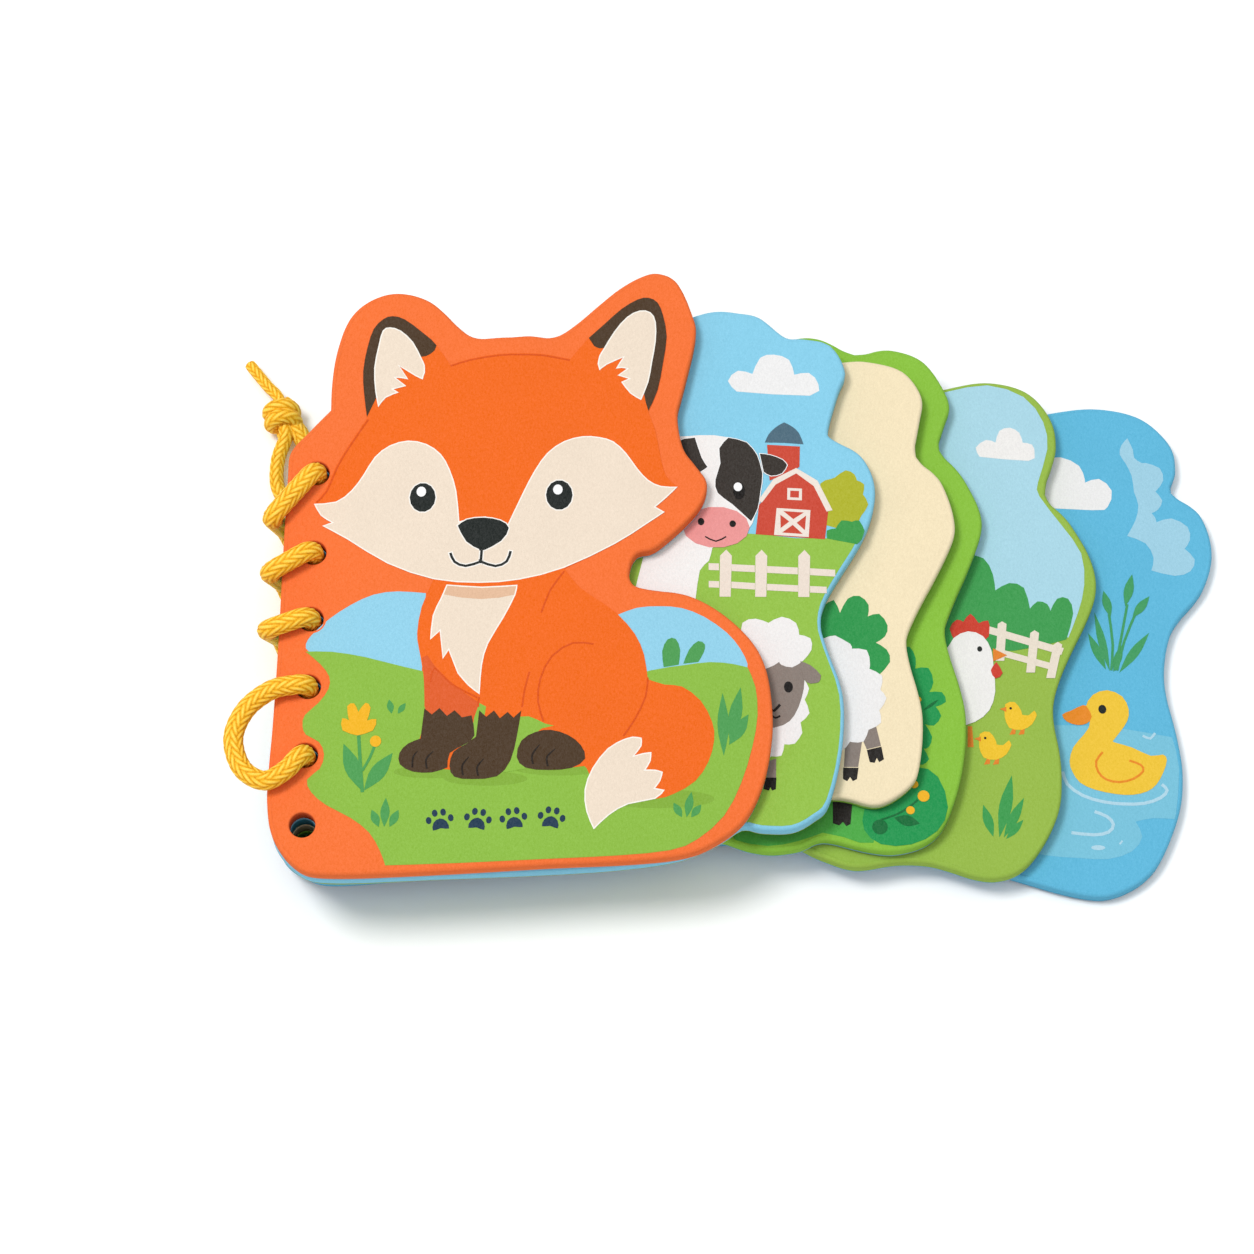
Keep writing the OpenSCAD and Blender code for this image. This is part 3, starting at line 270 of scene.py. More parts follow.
# The route of the lacing, in millimetres: corner points with the length that each bend takes
LACING_ROUTE = [
    (-8, 105, REAR_Z, 0),
    (0, HOLE_Y[5], REAR_Z, BEND), (0, HOLE_Y[5], FRONT_Z, BEND),
    (WRAP_X, 86, FRONT_Z, BEND), (WRAP_X, 86 + LEAN, REAR_Z, BEND),
    (0, HOLE_Y[4], REAR_Z, BEND), (0, HOLE_Y[4], FRONT_Z, BEND),
    (WRAP_X, 70, FRONT_Z, BEND), (WRAP_X, 70 + LEAN, REAR_Z, BEND),
    (0, HOLE_Y[3], REAR_Z, BEND), (0, HOLE_Y[3], FRONT_Z, BEND),
    (WRAP_X, 53.5, FRONT_Z, BEND), (WRAP_X, 53.5 + LEAN, REAR_Z, BEND),
    (0, HOLE_Y[2], REAR_Z, BEND), (0, HOLE_Y[2], FRONT_Z, BEND),
    (-9, 36.5, FRONT_Z, 1), (-15, 31.8, FRONT_Z, 1), (-18.2, 25.7, FRONT_Z, 1), (-18.4, 20.1, FRONT_Z, 1),
    (-15.6, 13.9, FRONT_Z, 1), (-10, 11, FRONT_Z, 1), (-4.8, 13.8, FRONT_Z, 1),
    (0, HOLE_Y[1], FRONT_Z, BEND), (0, HOLE_Y[1], REAR_Z, BEND),
    (6, 26, REAR_Z, 1), (7.5, 34, REAR_Z, 1), (7.5, 64, REAR_Z, 1), (7.5, 94, REAR_Z, 1),
    (4.6, 107, REAR_Z, 1), (-2.2, 118, REAR_Z, 1), (-10.4, 130.2, -1.2, 0)]

KNOT_AT = Vector((-13.8, 132.6, -0.4))
KNOT_TURN = math.radians(12)
KNOT_WAY = Vector((-math.sin(KNOT_TURN), math.cos(KNOT_TURN), 0.0))
END_ROUTE = [
    LACING_START, LACING_START - 4 * START_WAY, Vector((-14.6, 112.6, REAR_Z)), Vector((-14.6, 120, -2)),
    KNOT_AT - 6 * KNOT_WAY, KNOT_AT, KNOT_AT + 6 * KNOT_WAY, Vector((-18.6, 143, -1.6)),
    Vector((-24, 150.4, -3.3))]


def lacing_line(step):
    """The lacing's centreline in millimetres, with straight legs through the holes."""
    at = [Vector(p[:3]) for p in LACING_ROUTE]
    rough = [[at[0]]]
    for i in range(1, len(at) - 1):
        if LACING_ROUTE[i][3] >= BEND:
            rough.append(corner(at[i - 1], at[i], at[i + 1], LACING_ROUTE[i][3], 10))
        else:
            rough.append([at[i]])
    rough.append([at[-1]])
    # free points in a row are joined by one smooth line, bends by straight legs
    line, row = [], []
    for i, part in enumerate(rough):
        if len(part) == 1:
            row.append(part[0])
            continue
        if row:
            line += curve([line[-1], *row, part[0]] if line else [*row, part[0]], step)[1 if line else 0:-1]
            row = []
        line += part
    if row:
        line += curve([line[-1], *row], step)[1:]
    return line


# Meshes

def make_object(name, bm, materials):
    mesh = bpy.data.meshes.new(name)
    bm.to_mesh(mesh)
    bm.free()
    obj = bpy.data.objects.new(name, mesh)
    bpy.context.scene.collection.objects.link(obj)
    for m in materials:
        mesh.materials.append(m)
    return obj


def braid(turn, s, around, pitch):
    """Height of the braid from 0, in a groove, to 1, on a strand: turn in turns, s in millimetres.

    Each strand runs over three others and then under three, which gives rows of chevrons."""
    left = around * turn + s / pitch
    right = around * turn - s / pitch
    i, j = math.floor(left), math.floor(right)
    if (i + j) % 6 < 3:
        across, along = left - i, ((right + i) % 6) / 3
    else:
        across, along = right - j, ((left + j - 3) % 6) / 3
    body = math.sin(math.pi * across) ** 0.7
    ends = max(0.0, math.sin(math.pi * min(1.0, max(0.0, along)))) ** 0.45
    fibres = 0.5 + 0.5 * math.cos(6 * math.pi * across)
    return max(0.0, min(1.0, (0.78 * body + 0.14 * fibres * body + 0.08) * (0.35 + 0.65 * ends)))


def carried_normals(line):
    """Directions and normals along a line, with the normals turned as little as possible."""
    ways, normals = [], []
    n = Vector((0.1, 0.3, 1.0))
    for i in range(len(line)):
        way = unit(line[min(i + 1, len(line) - 1)] - line[max(i - 1, 0)])
        n = unit(n - way * n.dot(way))
        ways.append(way)
        normals.append(n)
    return ways, normals


def braided_tube(bm, line, lengths, ways, normals, diameter, depth, sides=72, around=12, pitch=2.6,
                 cap_start=False, cap_end=False, thinner=None, dome=0.42):
    """A tube of braid along the line: its grooves are in the mesh and in the attribute braid, which the cord's
    material paints as shade in the grooves and as a highlight on the strands.
    """
    shade_layer = bm.verts.layers.float.get("braid") or bm.verts.layers.float.new("braid")
    rings = []
    for p, s, way, n in zip(line, lengths, ways, normals):
        m = way.cross(n)
        ring = []
        size = diameter * (thinner(s) if thinner else 1.0)
        for k in range(sides):
            a = 2 * math.pi * k / sides
            h = braid(k / sides, s, around, pitch)
            r = size / 2 - depth * (1.0 - h)
            v = bm.verts.new((p + (n * math.cos(a) + m * math.sin(a)) * r) * MM)
            v[shade_layer] = h
            ring.append(v)
        rings.append(ring)
    for a, b in zip(rings, rings[1:]):
        for k in range(sides):
            j = (k + 1) % sides
            f = bm.faces.new((a[k], a[j], b[j], b[k]))
            f.smooth = True
    for ring, way, wanted, sign in ((rings[0], ways[0], cap_start, -1), (rings[-1], ways[-1], cap_end, 1)):
        if not wanted:
            continue
        centre = sum((v.co for v in ring), Vector()) / sides
        inner = []
        for scale, push in ((0.86, dome * 0.67), (0.55, dome)):
            out = way * (sign * push * MM)
            inner.append([bm.verts.new(centre + (v.co - centre) * scale + out) for v in ring])
        for a, b in zip([ring, inner[0]], inner):
            for k in range(sides):
                j = (k + 1) % sides
                quad = (a[k], a[j], b[j], b[k])
                f = bm.faces.new(quad if sign > 0 else quad[::-1])
                f.smooth = True
        last = bm.faces.new(inner[-1] if sign > 0 else inner[-1][::-1])
        last.smooth = True
        # the cut face shows the ends of the strands, in alternate bands that the cord's material paints as
        # groove shade and as strand highlight
        for ring_in in inner:
            for k, v in enumerate(ring_in):
                v[shade_layer] = 0.25 + 0.45 * (k * 12 // sides % 2)


def board_outline(name):
    """The outer outline of a board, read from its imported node, in millimetres."""
    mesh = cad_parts[name].data
    top = max(v.co.z for v in mesh.vertices)
    bm = bmesh.new()
    bm.from_mesh(mesh)
    bmesh.ops.remove_doubles(bm, verts=bm.verts, dist=1e-6)
    faces = [f for f in bm.faces if all(abs(v.co.z - top) < 1e-6 for v in f.verts)]
    inside = set(faces)
    edges = [e for e in bm.edges if sum(f in inside for f in e.link_faces) == 1]
    after = {}
    for e in edges:
        a, b = e.verts
        after.setdefault(a, []).append(b)
        after.setdefault(b, []).append(a)
    loops, seen = [], set()
    for start in after:
        if start in seen:
            continue
        loop, at, before = [], start, None
        while at not in seen:
            seen.add(at)
            loop.append(at.co.xy / MM)
            options = [v for v in after[at] if v is not before]
            before, at = at, options[0]
        loops.append(loop)
    bm.free()
    loops.sort(key=lambda l: -(max(p.x for p in l) - min(p.x for p in l)))
    outer = loops[0]
    area = sum(a.x * b.y - b.x * a.y for a, b in zip(outer, outer[1:] + outer[:1]))
    if area < 0:
        outer.reverse()
    return outer


def smooth_outline(points, step=0.9):
    """A closed outline with points at an even step, kept sharp at its few corners."""
    n = len(points)
    sharp = []
    for i in range(n):
        a, b, c = points[i - 1], points[i], points[(i + 1) % n]
        if (b - a).angle(c - b) > math.radians(24):
            sharp.append(i)
    if not sharp:
        sharp = [0]
    made = []
    for k, i in enumerate(sharp):
        j = sharp[(k + 1) % len(sharp)]
        run = [points[(i + m) % n] for m in range((j - i) % n + 1 if j != i else n + 1)]
        flat = [Vector((p.x, p.y, 0.0)) for p in run]
        made += even(curve(flat, step), step)[:-1]
    return [p.xy for p in made]


def inset_outline(points, amount):
    """A counterclockwise outline drawn in by amount."""
    if amount == 0:
        return points
    n = len(points)
    made = []
    for i in range(n):
        a, b = points[i - 2], points[(i + 2) % n]
        way = (b - a).normalized()
        made.append(points[i] + Vector((-way.y, way.x)) * amount)
    return made


def board_mesh(name, plies, edge_round, rim):
    """A padded board: rounded edges, a seam between its two cloths and pressed rims at its holes."""
    index = BOARDS.index(name)
    z0 = index * LEVEL_H
    outline = smooth_outline(board_outline(name))
    bm = bmesh.new()
    r = edge_round / MM
    # the profile from the underside up: inset and height, with a shallow groove at each ply
    profile = [(0.9, 0.0), (0.35, 0.06), (0.08, 0.3)]
    for z in plies:
        profile += [(0.0, z - 0.16), (0.22, z), (0.0, z + 0.16)]
    for k in range(6):
        a = math.pi / 2 * k / 5
        profile.append((r * (1 - math.cos(a)), FOAM_T - r * (1 - math.sin(a))))
    # a faint pressed line where the rounded edge meets the face
    profile += [(r + 0.05, FOAM_T - 0.05), (r + 0.4, FOAM_T), (r + 1.6, FOAM_T)]
    rings = []
    for amount, z in profile:
        rings.append([bm.verts.new((p.x * MM, p.y * MM, (z0 + z) * MM))
                      for p in inset_outline(outline, amount)])
    seam = plies[0]
    for (a, b), (low, high) in zip(zip(rings, rings[1:]), zip(profile, profile[1:])):
        for k in range(len(a)):
            j = (k + 1) % len(a)
            f = bm.faces.new((a[k], a[j], b[j], b[k]))
            f.smooth = True
            middle = (low[1] + high[1]) / 2
            f.material_index = 1 if middle < seam else 0
    # the holes: a wall with a raised lip on top; the wall takes the third cloth, painted darker as shade
    # inside the hole
    lip = rim / MM
    wall, sides = 3.42, 48
    hole_profile = [(wall + 0.25, 0.0), (wall, 0.25), (wall, FOAM_T - 0.3), (wall + 0.12, FOAM_T - 0.05),
                    (wall + lip * 0.4, FOAM_T + 0.1), (wall + lip * 0.75, FOAM_T + 0.07), (wall + lip, FOAM_T)]
    tops, bottoms = [], []
    for y in HOLE_Y:
        circles = []
        for radius, z in hole_profile:
            circles.append([bm.verts.new((radius * math.cos(2 * math.pi * k / sides) * MM,
                                          (y + radius * math.sin(2 * math.pi * k / sides)) * MM,
                                          (z0 + z) * MM)) for k in range(sides)])
        for i, (a, b) in enumerate(zip(circles, circles[1:])):
            for k in range(sides):
                j = (k + 1) % sides
                f = bm.faces.new((a[k], b[k], b[j], a[j]))
                f.smooth = True
                f.material_index = 2 if i == 1 else (1 if i == 0 else 0)
        bottoms.append(circles[0])
        tops.append(circles[-1])
    for outer, holes, material, up in ((rings[-1], tops, 0, True), (rings[0], bottoms, 1, False)):
        edges = []
        for ring in [outer, *holes]:
            for k in range(len(ring)):
                a, b = ring[k], ring[(k + 1) % len(ring)]
                e = bm.edges.get((a, b)) or bm.edges.new((a, b))
                edges.append(e)
        made = bmesh.ops.triangle_fill(bm, use_beauty=True, use_dissolve=False, edges=edges,
                                       normal=(0, 0, 1 if up else -1))
        for f in made["geom"]:
            if isinstance(f, bmesh.types.BMFace):
                f.material_index = material
                if (f.normal.z > 0) != up:
                    f.normal_flip()
    return bm


def top_loops(name):
    """The outlines of every field in a printed node, counterclockwise, with their heights."""
    bm = bmesh.new()
    bm.from_mesh(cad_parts[name].data)
    bmesh.ops.remove_doubles(bm, verts=bm.verts, dist=1e-7)
    faces = [f for f in bm.faces if f.normal.z > 0.9]
    inside = set(faces)
    after = {}
    for f in faces:
        corners = list(f.verts)
        for a, b in zip(corners, corners[1:] + corners[:1]):
            if sum(g in inside for g in bm.edges.get((a, b)).link_faces) == 1:
                after[a] = b
    loops = []
    while after:
        start = at = next(iter(after))
        loop = []
        while at in after:
            loop.append(at)
            at = after.pop(at)
        loops.append(([v.co.xy / MM for v in loop], start.co.z / MM))
    bm.free()
    return loops


def mitred(points, amount):
    """A counterclockwise polygon drawn in by amount, with its corners kept."""
    made = []
    for i, p in enumerate(points):
        before = (p - points[i - 1]).normalized()
        after = (points[(i + 1) % len(points)] - p).normalized()
        first, second = Vector((-before.y, before.x)), Vector((-after.y, after.x))
        middle = first + second
        middle = middle.normalized() if middle.length > 0.4 else second
        made.append(p + middle * (amount / max(0.5, middle.dot(second))))
    return made


def edge_line(bm, name, width, outside=False):
    """A thin line of print along the edges of a node's fields, inside them or around them."""
    for points, z in top_loops(name):
        low, high = (z - 0.07, z - 0.035) if outside else (z - 0.03, z + 0.012)
        inner = mitred(points, -width if outside else width)
        rings = [[bm.verts.new((q.x * MM, q.y * MM, h * MM)) for q in ring]
                 for ring, h in ((points, low), (points, high), (inner, high), (inner, low))]
        for a, b in zip(rings, rings[1:] + rings[:1]):
            for k in range(len(a)):
                j = (k + 1) % len(a)
                quad = (a[k], a[j], b[j], b[k])
                bm.faces.new(quad[::-1] if outside else quad)


def flat_field(bm, points, z, thick=0.010):
    """A thin field of print with a given outline."""
    low, high = ([bm.verts.new((x * MM, y * MM, h * MM)) for x, y in points] for h in (z, z + thick))
    bm.faces.new(low[::-1])
    bm.faces.new(high)
    for k in range(len(low)):
        j = (k + 1) % len(low)
        bm.faces.new((low[k], low[j], high[j], high[k]))


def oval(x, y, a, b, sides=40):
    turns = [2 * math.pi * k / sides for k in range(sides)]
    return [(x + a * math.cos(turn), y + b * math.sin(turn)) for turn in turns]


def pen_line(points, width):
    """The outline of a pen stroke that thins out at its first end."""
    at = curve([Vector((x, y, 0.0)) for x, y in points], 0.3)
    left, right = [], []
    for i, q in enumerate(at):
        way = unit(at[min(i + 1, len(at) - 1)] - at[max(i - 1, 0)])
        half = width / 2 * min(1.0, 0.35 + 2.0 * i / len(at))
        left.append((q.x - way.y * half, q.y + way.x * half))
        right.append((q.x + way.y * half, q.y - way.x * half))
    return left + right[::-1]


# Colours of the print

PRINT = {
    "cover_sky": "94D3EC", "cover_meadow": "8FBF45", "cover_plants": "4FA055", "cover_flowers": "F5B81F",
    "cover_paw_prints": "1F3A52", "fox_coat": "F56B14", "fox_cream": "F1E0CC", "fox_brown": "4C3824",
    "fox_lines": "DE5510", "fox_black": "1E2422", "fox_highlights": "FFFFFF",
    "cow_meadow": "97C54A", "cow_cloud": "F2F2F2", "cow_trees": "B4B82C", "cow_bush": "3F9F4C",
    "barn_red": "CF4A36", "barn_trim": "F3E7DC", "silo_roof": "4F6D7E", "cow_fence": "F0E2D4",
    "cow_body": "F6F4F2", "cow_patches": "37312C", "cow_muzzle": "EE9A98", "cow_details": "14100E",
    "sheep_wool": "F3F1F0", "sheep_face": "8C8078", "cream_bush": "2F9B4E", "lamb_wool": "F3F1F0",
    "lamb_legs": "8C8078", "lamb_hooves": "26221F", "hedge_field": "4FAE48", "hedge_bush": "1F9A52",
    "hedge_vine": "12703A", "hedge_berries": "F6B922", "hedge_hoof": "26221F", "hen_sky": "AEDCEC",
    "hen_plants": "3FA052", "hen_body": "F4F2F0", "hen_fence": "EEE3D2", "hen_comb": "D2412F",
    "chicks": "F6C92E", "hen_beaks": "E8862B", "hen_eyes": "1E2422", "pond_clouds": "F2F2F2",
    "pond_haze": "A3D5EA", "pond_water": "7CC8E2", "pond_reeds": "44A064", "pond_ripples": "B5DDEE",
    "duck_body": "F6CB3A", "duck_bill": "EF8F25", "duck_details": "1E2422"}

# face cloth, reverse cloth, hole wall and the heights of the seams on the edge; the hole wall is the face
# cloth darkened as painted shade inside the hole
BOARD_LOOKS = {
    "front_cover": ("FF7A3D", "9FD0E4", "EE6A30", [0.7]),
    "cow_leaf": ("8AD2EE", "B9C24A", "3A93AC", [0.6]),
    "cream_leaf": ("F9E8C2", "8FBF45", "B9A98A", [1.5]),
    "hedge_leaf": ("8DC63F", "7FB9D6", "5E8F3A", [0.9]),
    "hen_leaf": ("9BBF4A", "86BBD6", "6A8F3C", [0.9]),
    "back_board": ("62BEE3", "4FA6CC", "2F7FA3", [0.9, 2.1, 3.2])}


# small marks on the print: name, body, colour, height in millimetres and outlines
MARKS = [
    ("paw_shadows", "cover_turn", "86B23C", 31.30, [
        oval(33.0, 14.7, 9.6, 1.7), oval(47.5, 13.0, 11.0, 2.0), oval(66.5, 15.8, 11.5, 1.9),
        oval(92.5, 7.6, 15.0, 2.6)]),
    ("far_leg", "cover_turn", "E25F28", 31.35, [
        [(30.0, 47.0), (30.6, 42.0), (31.1, 32.0), (31.3, 29.0), (44.7, 29.0), (45.4, 34.2), (41.2, 37.2),
         (36.7, 41.0), (33.3, 44.7), (31.4, 47.6)]]),
    ("leg_gaps", "cover_turn", "8FBF45", 31.36, [
        [(45.5, 34.1), (47.3, 33.1), (46.4, 26.7), (45.1, 23.8), (42.5, 22.6), (42.0, 20.0), (41.0, 14.9),
         (39.4, 15.0), (39.4, 19.0), (41.5, 22.8), (43.6, 25.0), (44.2, 30.0)],
        [(58.6, 30.4), (60.8, 29.5), (62.9, 28.4), (65.3, 27.8), (62.1, 27.0), (59.6, 24.9), (57.6, 21.8),
         (56.8, 19.2), (57.4, 17.2), (58.8, 15.9), (56.5, 15.5), (52.0, 14.6), (53.5, 18.0), (55.0, 25.0),
         (56.2, 30.3)],
        [(28.2, 22.0), (30.0, 24.0), (30.9, 28.0), (31.2, 33.0), (30.6, 32.4), (28.9, 26.0)]]),
    ("chin_shade", "cover_turn", "E6BD9C", 31.40, [
        [(35.4, 65.1), (40.0, 64.2), (45.2, 63.8), (50.0, 64.2), (54.2, 65.1), (54.8, 67.0), (55.0, 68.0),
         (45.5, 67.4), (36.0, 68.0)]]),
    ("toe_lines", "cover_turn", "271D16", 31.40, [
        pen_line(((29.5, 20.5), (28.4, 18.7), (28.3, 15.9)), 0.5),
        pen_line(((33.7, 20.5), (31.9, 18.3), (32.1, 15.6)), 0.5),
        pen_line(((43.1, 19.0), (41.4, 16.5), (41.6, 13.8)), 0.5),
        pen_line(((47.0, 18.5), (45.3, 16.1), (45.6, 13.7)), 0.5),
        pen_line(((61.6, 22.5), (59.7, 19.6), (59.9, 17.0)), 0.5),
        pen_line(((65.7, 21.3), (63.6, 19.0), (63.8, 16.4)), 0.5)]),
    ("cow_glint", "cow_turn", "FFFFFF", 26.20, [oval(114.5, 99.4, 1.15, 1.3)])]


# Operators

# The photograph's frame and focal length in pixels, and the middle of the view in metres
PHOTO_PIXELS = 1254.0
FOCAL_PIXELS = 3375.0
AIM = Vector((0.08442, 0.05586, 0.0315))
CAMERA_DISTANCE = 0.9


class BOARDBOOK_OT_camera(bpy.types.Operator):
    """Camera at the photograph's angle"""

    bl_idname = "boardbook.camera"
    bl_label = "Camera"

    def execute(self, context):
        data = bpy.data.cameras.new("camera")
        data.sensor_width = 36.0
        data.lens = FOCAL_PIXELS * data.sensor_width / PHOTO_PIXELS
        data.clip_start, data.clip_end = 0.05, 20.0
        camera = bpy.data.objects.new("camera", data)
        context.scene.collection.objects.link(camera)
        azimuth, elevation = math.radians(0.25), math.radians(68.0)
        back = Vector((math.sin(azimuth) * math.cos(elevation), -math.cos(azimuth) * math.cos(elevation),
                       math.sin(elevation)))
        camera.rotation_mode = "QUATERNION"
        camera.location = AIM + back * CAMERA_DISTANCE
        camera.rotation_quaternion = (-back).to_track_quat("-Z", "Y")
        context.scene.camera = camera
        return {"FINISHED"}


# Steps between the rings of the braid, laced and free, in millimetres
RING_STEP = 0.42
FREE_STEP = 0.36


class BOARDBOOK_OT_lacing(bpy.types.Operator):
    """Braided cord that laces the boards together, in a piece for each board"""

    bl_idname = "boardbook.lacing"
    bl_label = "Lacing"

    def execute(self, context):
        p = props()
        material = braid_cloth_with_painted_light("cord", tuple(p.cord_colour))
        diameter, depth = p.cord_diameter / MM, p.braid_depth / MM
        line = lacing_line(1.0)
        # a strand in the holes is cut between two boards, and each length stays with its board; a leg
        # outside the spine is cut once, under the front cover, and stays with the back board
        joins = [k * LEVEL_H + BOARD_T + 0.15 for k in range(5)]
        dense = []
        for a, b in zip(line, line[1:]):
            length = (b - a).length
            count = max(1, math.ceil(length / RING_STEP))
            cuts = {k / count for k in range(count)}
            if abs(b.z - a.z) > 0.02 * length:
                cuts |= {t for t in ((z - a.z) / (b.z - a.z) for z in joins) if 0 < t < 1}
            dense += [a.lerp(b, t) for t in sorted(cuts)]
        dense.append(line[-1])
        clean = [dense[0]]
        for q in dense[1:]:
            if (q - clean[-1]).length > 0.012:
                clean.append(q)
        ways, normals = carried_normals(clean)
        lengths = [0.0]
        for a, b in zip(clean, clean[1:]):
            lengths.append(lengths[-1] + (b - a).length)

        def piece_of(q):
            """The board, 0 to 5, that a stretch of the cord stays with."""
            if abs(q.x) < 1.2:
                return sum(q.z > z for z in joins)
            return 5 if q.z > joins[4] else 0

        meshes = {}
        start, last = 0, len(clean) - 1
        while start < last:
            kind = piece_of((clean[start] + clean[start + 1]) / 2)
            end = start + 1
            while end < last and piece_of((clean[end] + clean[end + 1]) / 2) == kind:
                end += 1
            # a cut is closed, a hair short of the next length
            cut_at = [start > 0, end < last]
            part = slice(start, end + 1)
            path = [q.copy() for q in clean[part]]
            if cut_at[0]:
                path[0] += (path[1] - path[0]).normalized() * 0.03
            if cut_at[1]:
                path[-1] += (path[-2] - path[-1]).normalized() * 0.03
            bm = meshes.setdefault(kind, bmesh.new())
            braided_tube(bm, path, lengths[part], ways[part], normals[part], diameter, depth,
                         cap_start=cut_at[0], cap_end=cut_at[1], dome=0.02)
            start = end
        for kind, bm in sorted(meshes.items()):
            piece = make_object(f"lacing_{BOARDS[kind]}", bm, [material])
            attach(piece, BODIES[kind])
            if kind == 0:
                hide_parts("lacing_cord")
        return {"FINISHED"}


class BOARDBOOK_OT_free_end(bpy.types.Operator):
    """Free end of the cord and the knot on it"""

    bl_idname = "boardbook.free_end"
    bl_label = "Free end and knot"

    def execute(self, context):
        p = props()
        colour = tuple(p.cord_colour)
        material = braid_cloth_with_painted_light("cord_end", colour)
        diameter = p.free_diameter / MM
        line = even(curve(END_ROUTE, 0.5), FREE_STEP)
        ways, normals = carried_normals(line)
        lengths = [FREE_STEP * k for k in range(len(line))]
        knot_s = lengths[min(range(len(line)), key=lambda k: (line[k] - KNOT_AT).length)]
        bm = bmesh.new()
        braided_tube(bm, line, lengths, ways, normals, diameter, p.braid_depth / MM * 0.7, sides=54, around=9,
                     pitch=2.3, cap_end=True, thinner=lambda s: 1.05 if s < knot_s else 0.84)
        end = make_object("free_cord", bm, [material])
        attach(end, "base")
        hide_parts("cord_end")

        # the knot: the cord wound twice around its own end, in from below and out at the top
        side = KNOT_WAY.cross(Vector((0, 0, 1)))
        up = Vector((0, 0, 1))
        turns, rise = 2.3, 3.7
        wound = []
        for k in range(241):
            t = k / 240
            a = math.radians(250) + 2 * math.pi * turns * t
            tuck = min(1.0, t / 0.09, (1 - t) / 0.09)
            radius = 1.3 + 2.1 * math.sin(tuck * math.pi / 2)
            along = rise * turns * (t - 0.5) * 0.88 + 0.75 * math.cos(a - 0.9)
            wound.append(KNOT_AT + KNOT_WAY * along + (side * math.cos(a) + up * math.sin(a)) * radius)
        wound = even(wound, FREE_STEP)
        ways, normals = carried_normals(wound)
        bm = bmesh.new()
        lengths = [FREE_STEP * k for k in range(len(wound))]
        braided_tube(bm, wound, lengths, ways, normals, 4.4, p.braid_depth / MM * 0.7,
                     sides=54, around=9, pitch=2.3, cap_start=True, cap_end=True)
        knot = make_object("knot", bm, [material])
        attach(knot, "base")
        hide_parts("cord_knot")
        return {"FINISHED"}


class BOARDBOOK_OT_boards(bpy.types.Operator):
    """Front cover, the four leaves and the back board"""

    bl_idname = "boardbook.boards"
    bl_label = "Boards"

    def execute(self, context):
        p = props()
        for name, body in zip(BOARDS, BODIES):
            face, reverse, wall, plies = BOARD_LOOKS[name]
            colour = tuple(p.border_colour) if name == "front_cover" else linear(face)
            bm = board_mesh(name, plies, p.edge_round, p.rim_width)
            # the third cloth paints shade on the hole walls: the face colour darkened
            board = make_object(name + "_cloth", bm, [
                felt(name + "_face", colour), felt(name + "_reverse", linear(reverse)),
                felt(name + "_wall_painted_shade", linear(wall))])
            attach(board, body)
            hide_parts(name)
        return {"FINISHED"}


class BOARDBOOK_OT_print(bpy.types.Operator):
    """Printed fields on the boards"""

    bl_idname = "boardbook.print"
    bl_label = "Print"

    def execute(self, context):
        for name, code in PRINT.items():
            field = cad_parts[name]
            field.data.materials.clear()
            field.data.materials.append(felt(name, linear(code)))
        for name, node_name, body, code, width, outside in (
                ("cream_edge", "fox_cream", "cover_turn", "FFFBF2", 0.34, False),
                ("face_edge", "fox_black", "cover_turn", "FFFBF4", 0.32, True),
                ("patch_edge", "cow_patches", "cow_turn", "FFFFFF", 0.22, True)):
            bm = bmesh.new()
            edge_line(bm, node_name, width, outside)
            line = make_object(name, bm, [felt(name, linear(code))])
            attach(line, body)
        for name, body, code, z, outlines in MARKS:
            bm = bmesh.new()
            for k, points in enumerate(outlines):
                flat_field(bm, points, z - 0.002 + 0.003 * k)
            bmesh.ops.recalc_face_normals(bm, faces=bm.faces)
            mark = make_object(name, bm, [felt(name, linear(code))])
            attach(mark, body)
        return {"FINISHED"}


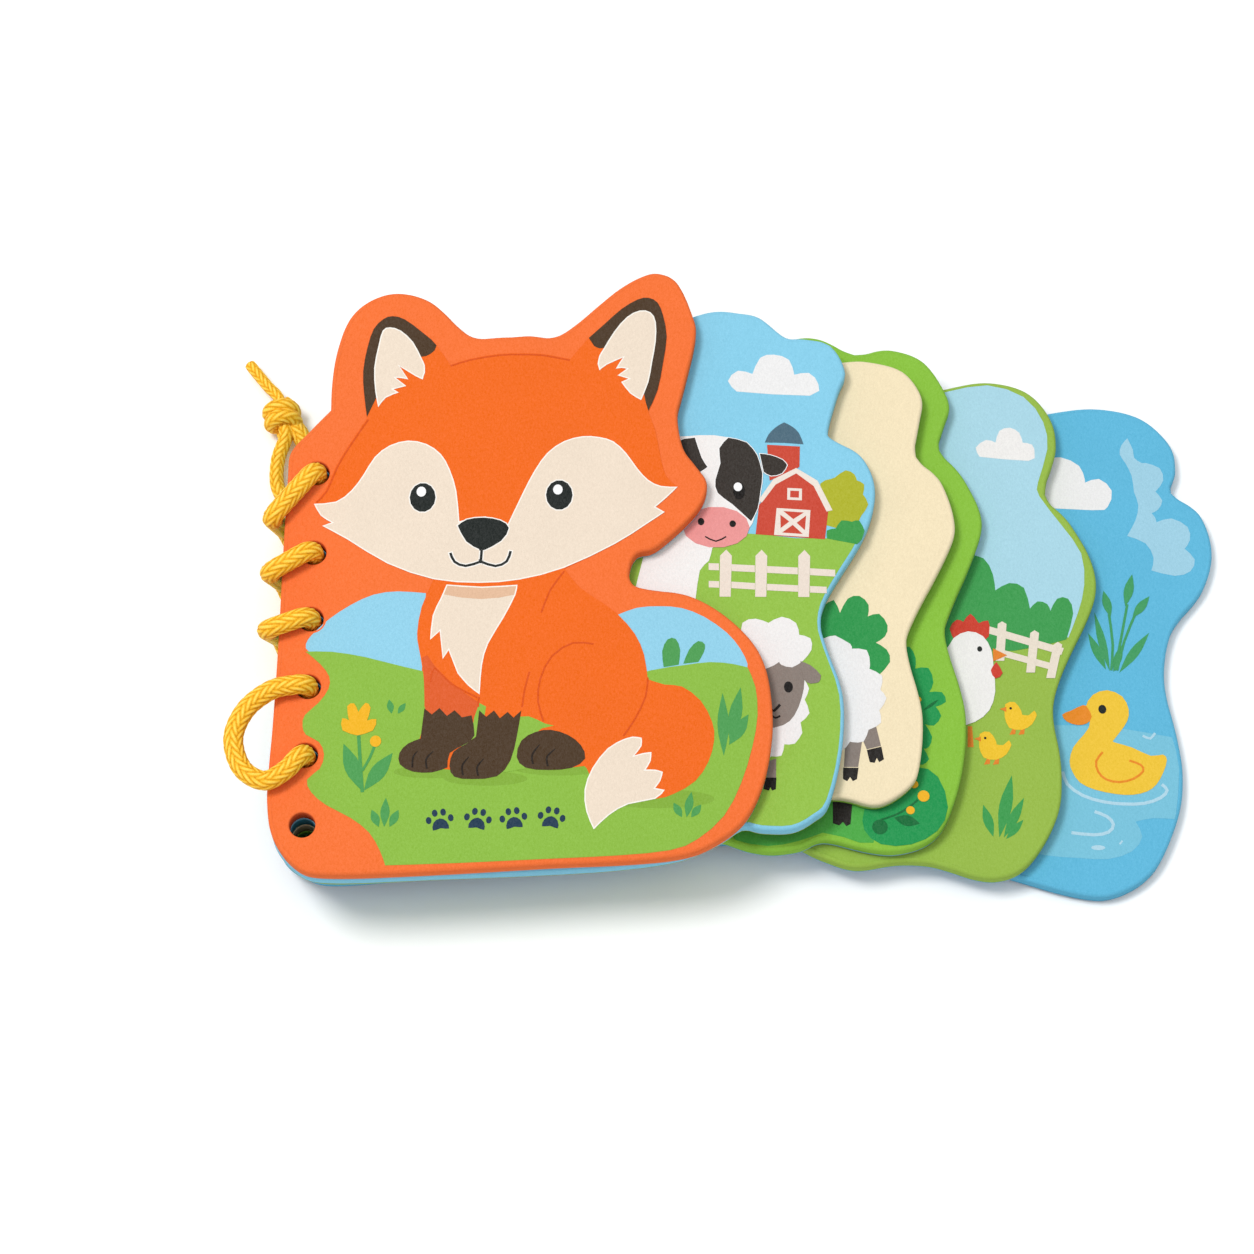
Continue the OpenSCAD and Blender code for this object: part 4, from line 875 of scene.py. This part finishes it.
class BOARDBOOK_OT_stage(bpy.types.Operator):
    """Floor and studio lights"""

    bl_idname = "boardbook.stage"
    bl_label = "Stage"

    def execute(self, context):
        scene = context.scene
        material, tree, skin = new_material("floor")
        skin.inputs["Base Color"].default_value = tuple(props().floor_colour)
        skin.inputs["Roughness"].default_value = 0.9
        skin.inputs["Specular IOR Level"].default_value = 0.1
        bm = bmesh.new()
        bmesh.ops.create_grid(bm, x_segments=1, y_segments=1, size=3.0)
        floor = make_object("floor", bm, [material])
        # the book rests on the cord under its spine and on the fore edge of its back board
        cord_x, fore_x, drop = 7.5, 246.0, 5.75
        floor.rotation_euler = (0.0, -math.atan2(drop, fore_x - cord_x), 0.0)
        floor.location = Vector((cord_x * MM, 0.0, -drop * MM))
        for name, at, size, power in (
                ("key", (-0.50, 0.16, 1.5), 0.5, 13.5),
                ("top", (0.1, 0.0, 1.8), 1.8, 9.0)):
            data = bpy.data.lights.new(name, "AREA")
            data.shape = "DISK"
            data.size = size
            data.energy = power
            light = bpy.data.objects.new(name, data)
            scene.collection.objects.link(light)
            light.location = at
            light.rotation_mode = "QUATERNION"
            light.rotation_quaternion = (Vector((0.1, 0.05, 0.0)) - Vector(at)).to_track_quat("-Z", "Y")
        world = bpy.data.worlds.new("studio")
        world.use_nodes = True
        background = world.node_tree.nodes["Background"]
        background.inputs["Color"].default_value = (1.0, 1.0, 1.0, 1.0)
        background.inputs["Strength"].default_value = 0.52
        scene.world = world
        scene.view_settings.view_transform = "Standard"
        return {"FINISHED"}


class BOARDBOOK_PT_panel(bpy.types.Panel):
    """Sidebar panel of the board book"""

    bl_label = "Board Book"
    bl_idname = "BOARDBOOK_PT_panel"
    bl_space_type = "VIEW_3D"
    bl_region_type = "UI"
    bl_category = "Board Book"

    def draw(self, context):
        settings = context.scene.board_book
        for name in BoardBookProperties.__annotations__:
            self.layout.prop(settings, name)
        for operator in OPERATORS:
            self.layout.operator(operator.bl_idname)


OPERATORS = [BOARDBOOK_OT_camera, BOARDBOOK_OT_lacing, BOARDBOOK_OT_free_end, BOARDBOOK_OT_boards,
             BOARDBOOK_OT_print, BOARDBOOK_OT_stage]
CLASSES = [BoardBookProperties, *OPERATORS, BOARDBOOK_PT_panel]


def register():
    for c in CLASSES:
        bpy.utils.register_class(c)
    bpy.types.Scene.board_book = bpy.props.PointerProperty(type=BoardBookProperties)


def unregister():
    del bpy.types.Scene.board_book
    for c in reversed(CLASSES):
        bpy.utils.unregister_class(c)


def main():
    register()
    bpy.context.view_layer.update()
    bpy.ops.boardbook.camera()
    bpy.ops.boardbook.lacing()
    bpy.ops.boardbook.free_end()
    bpy.ops.boardbook.boards()
    bpy.ops.boardbook.print()
    bpy.ops.boardbook.stage()


if __name__ == "__main__":
    main()
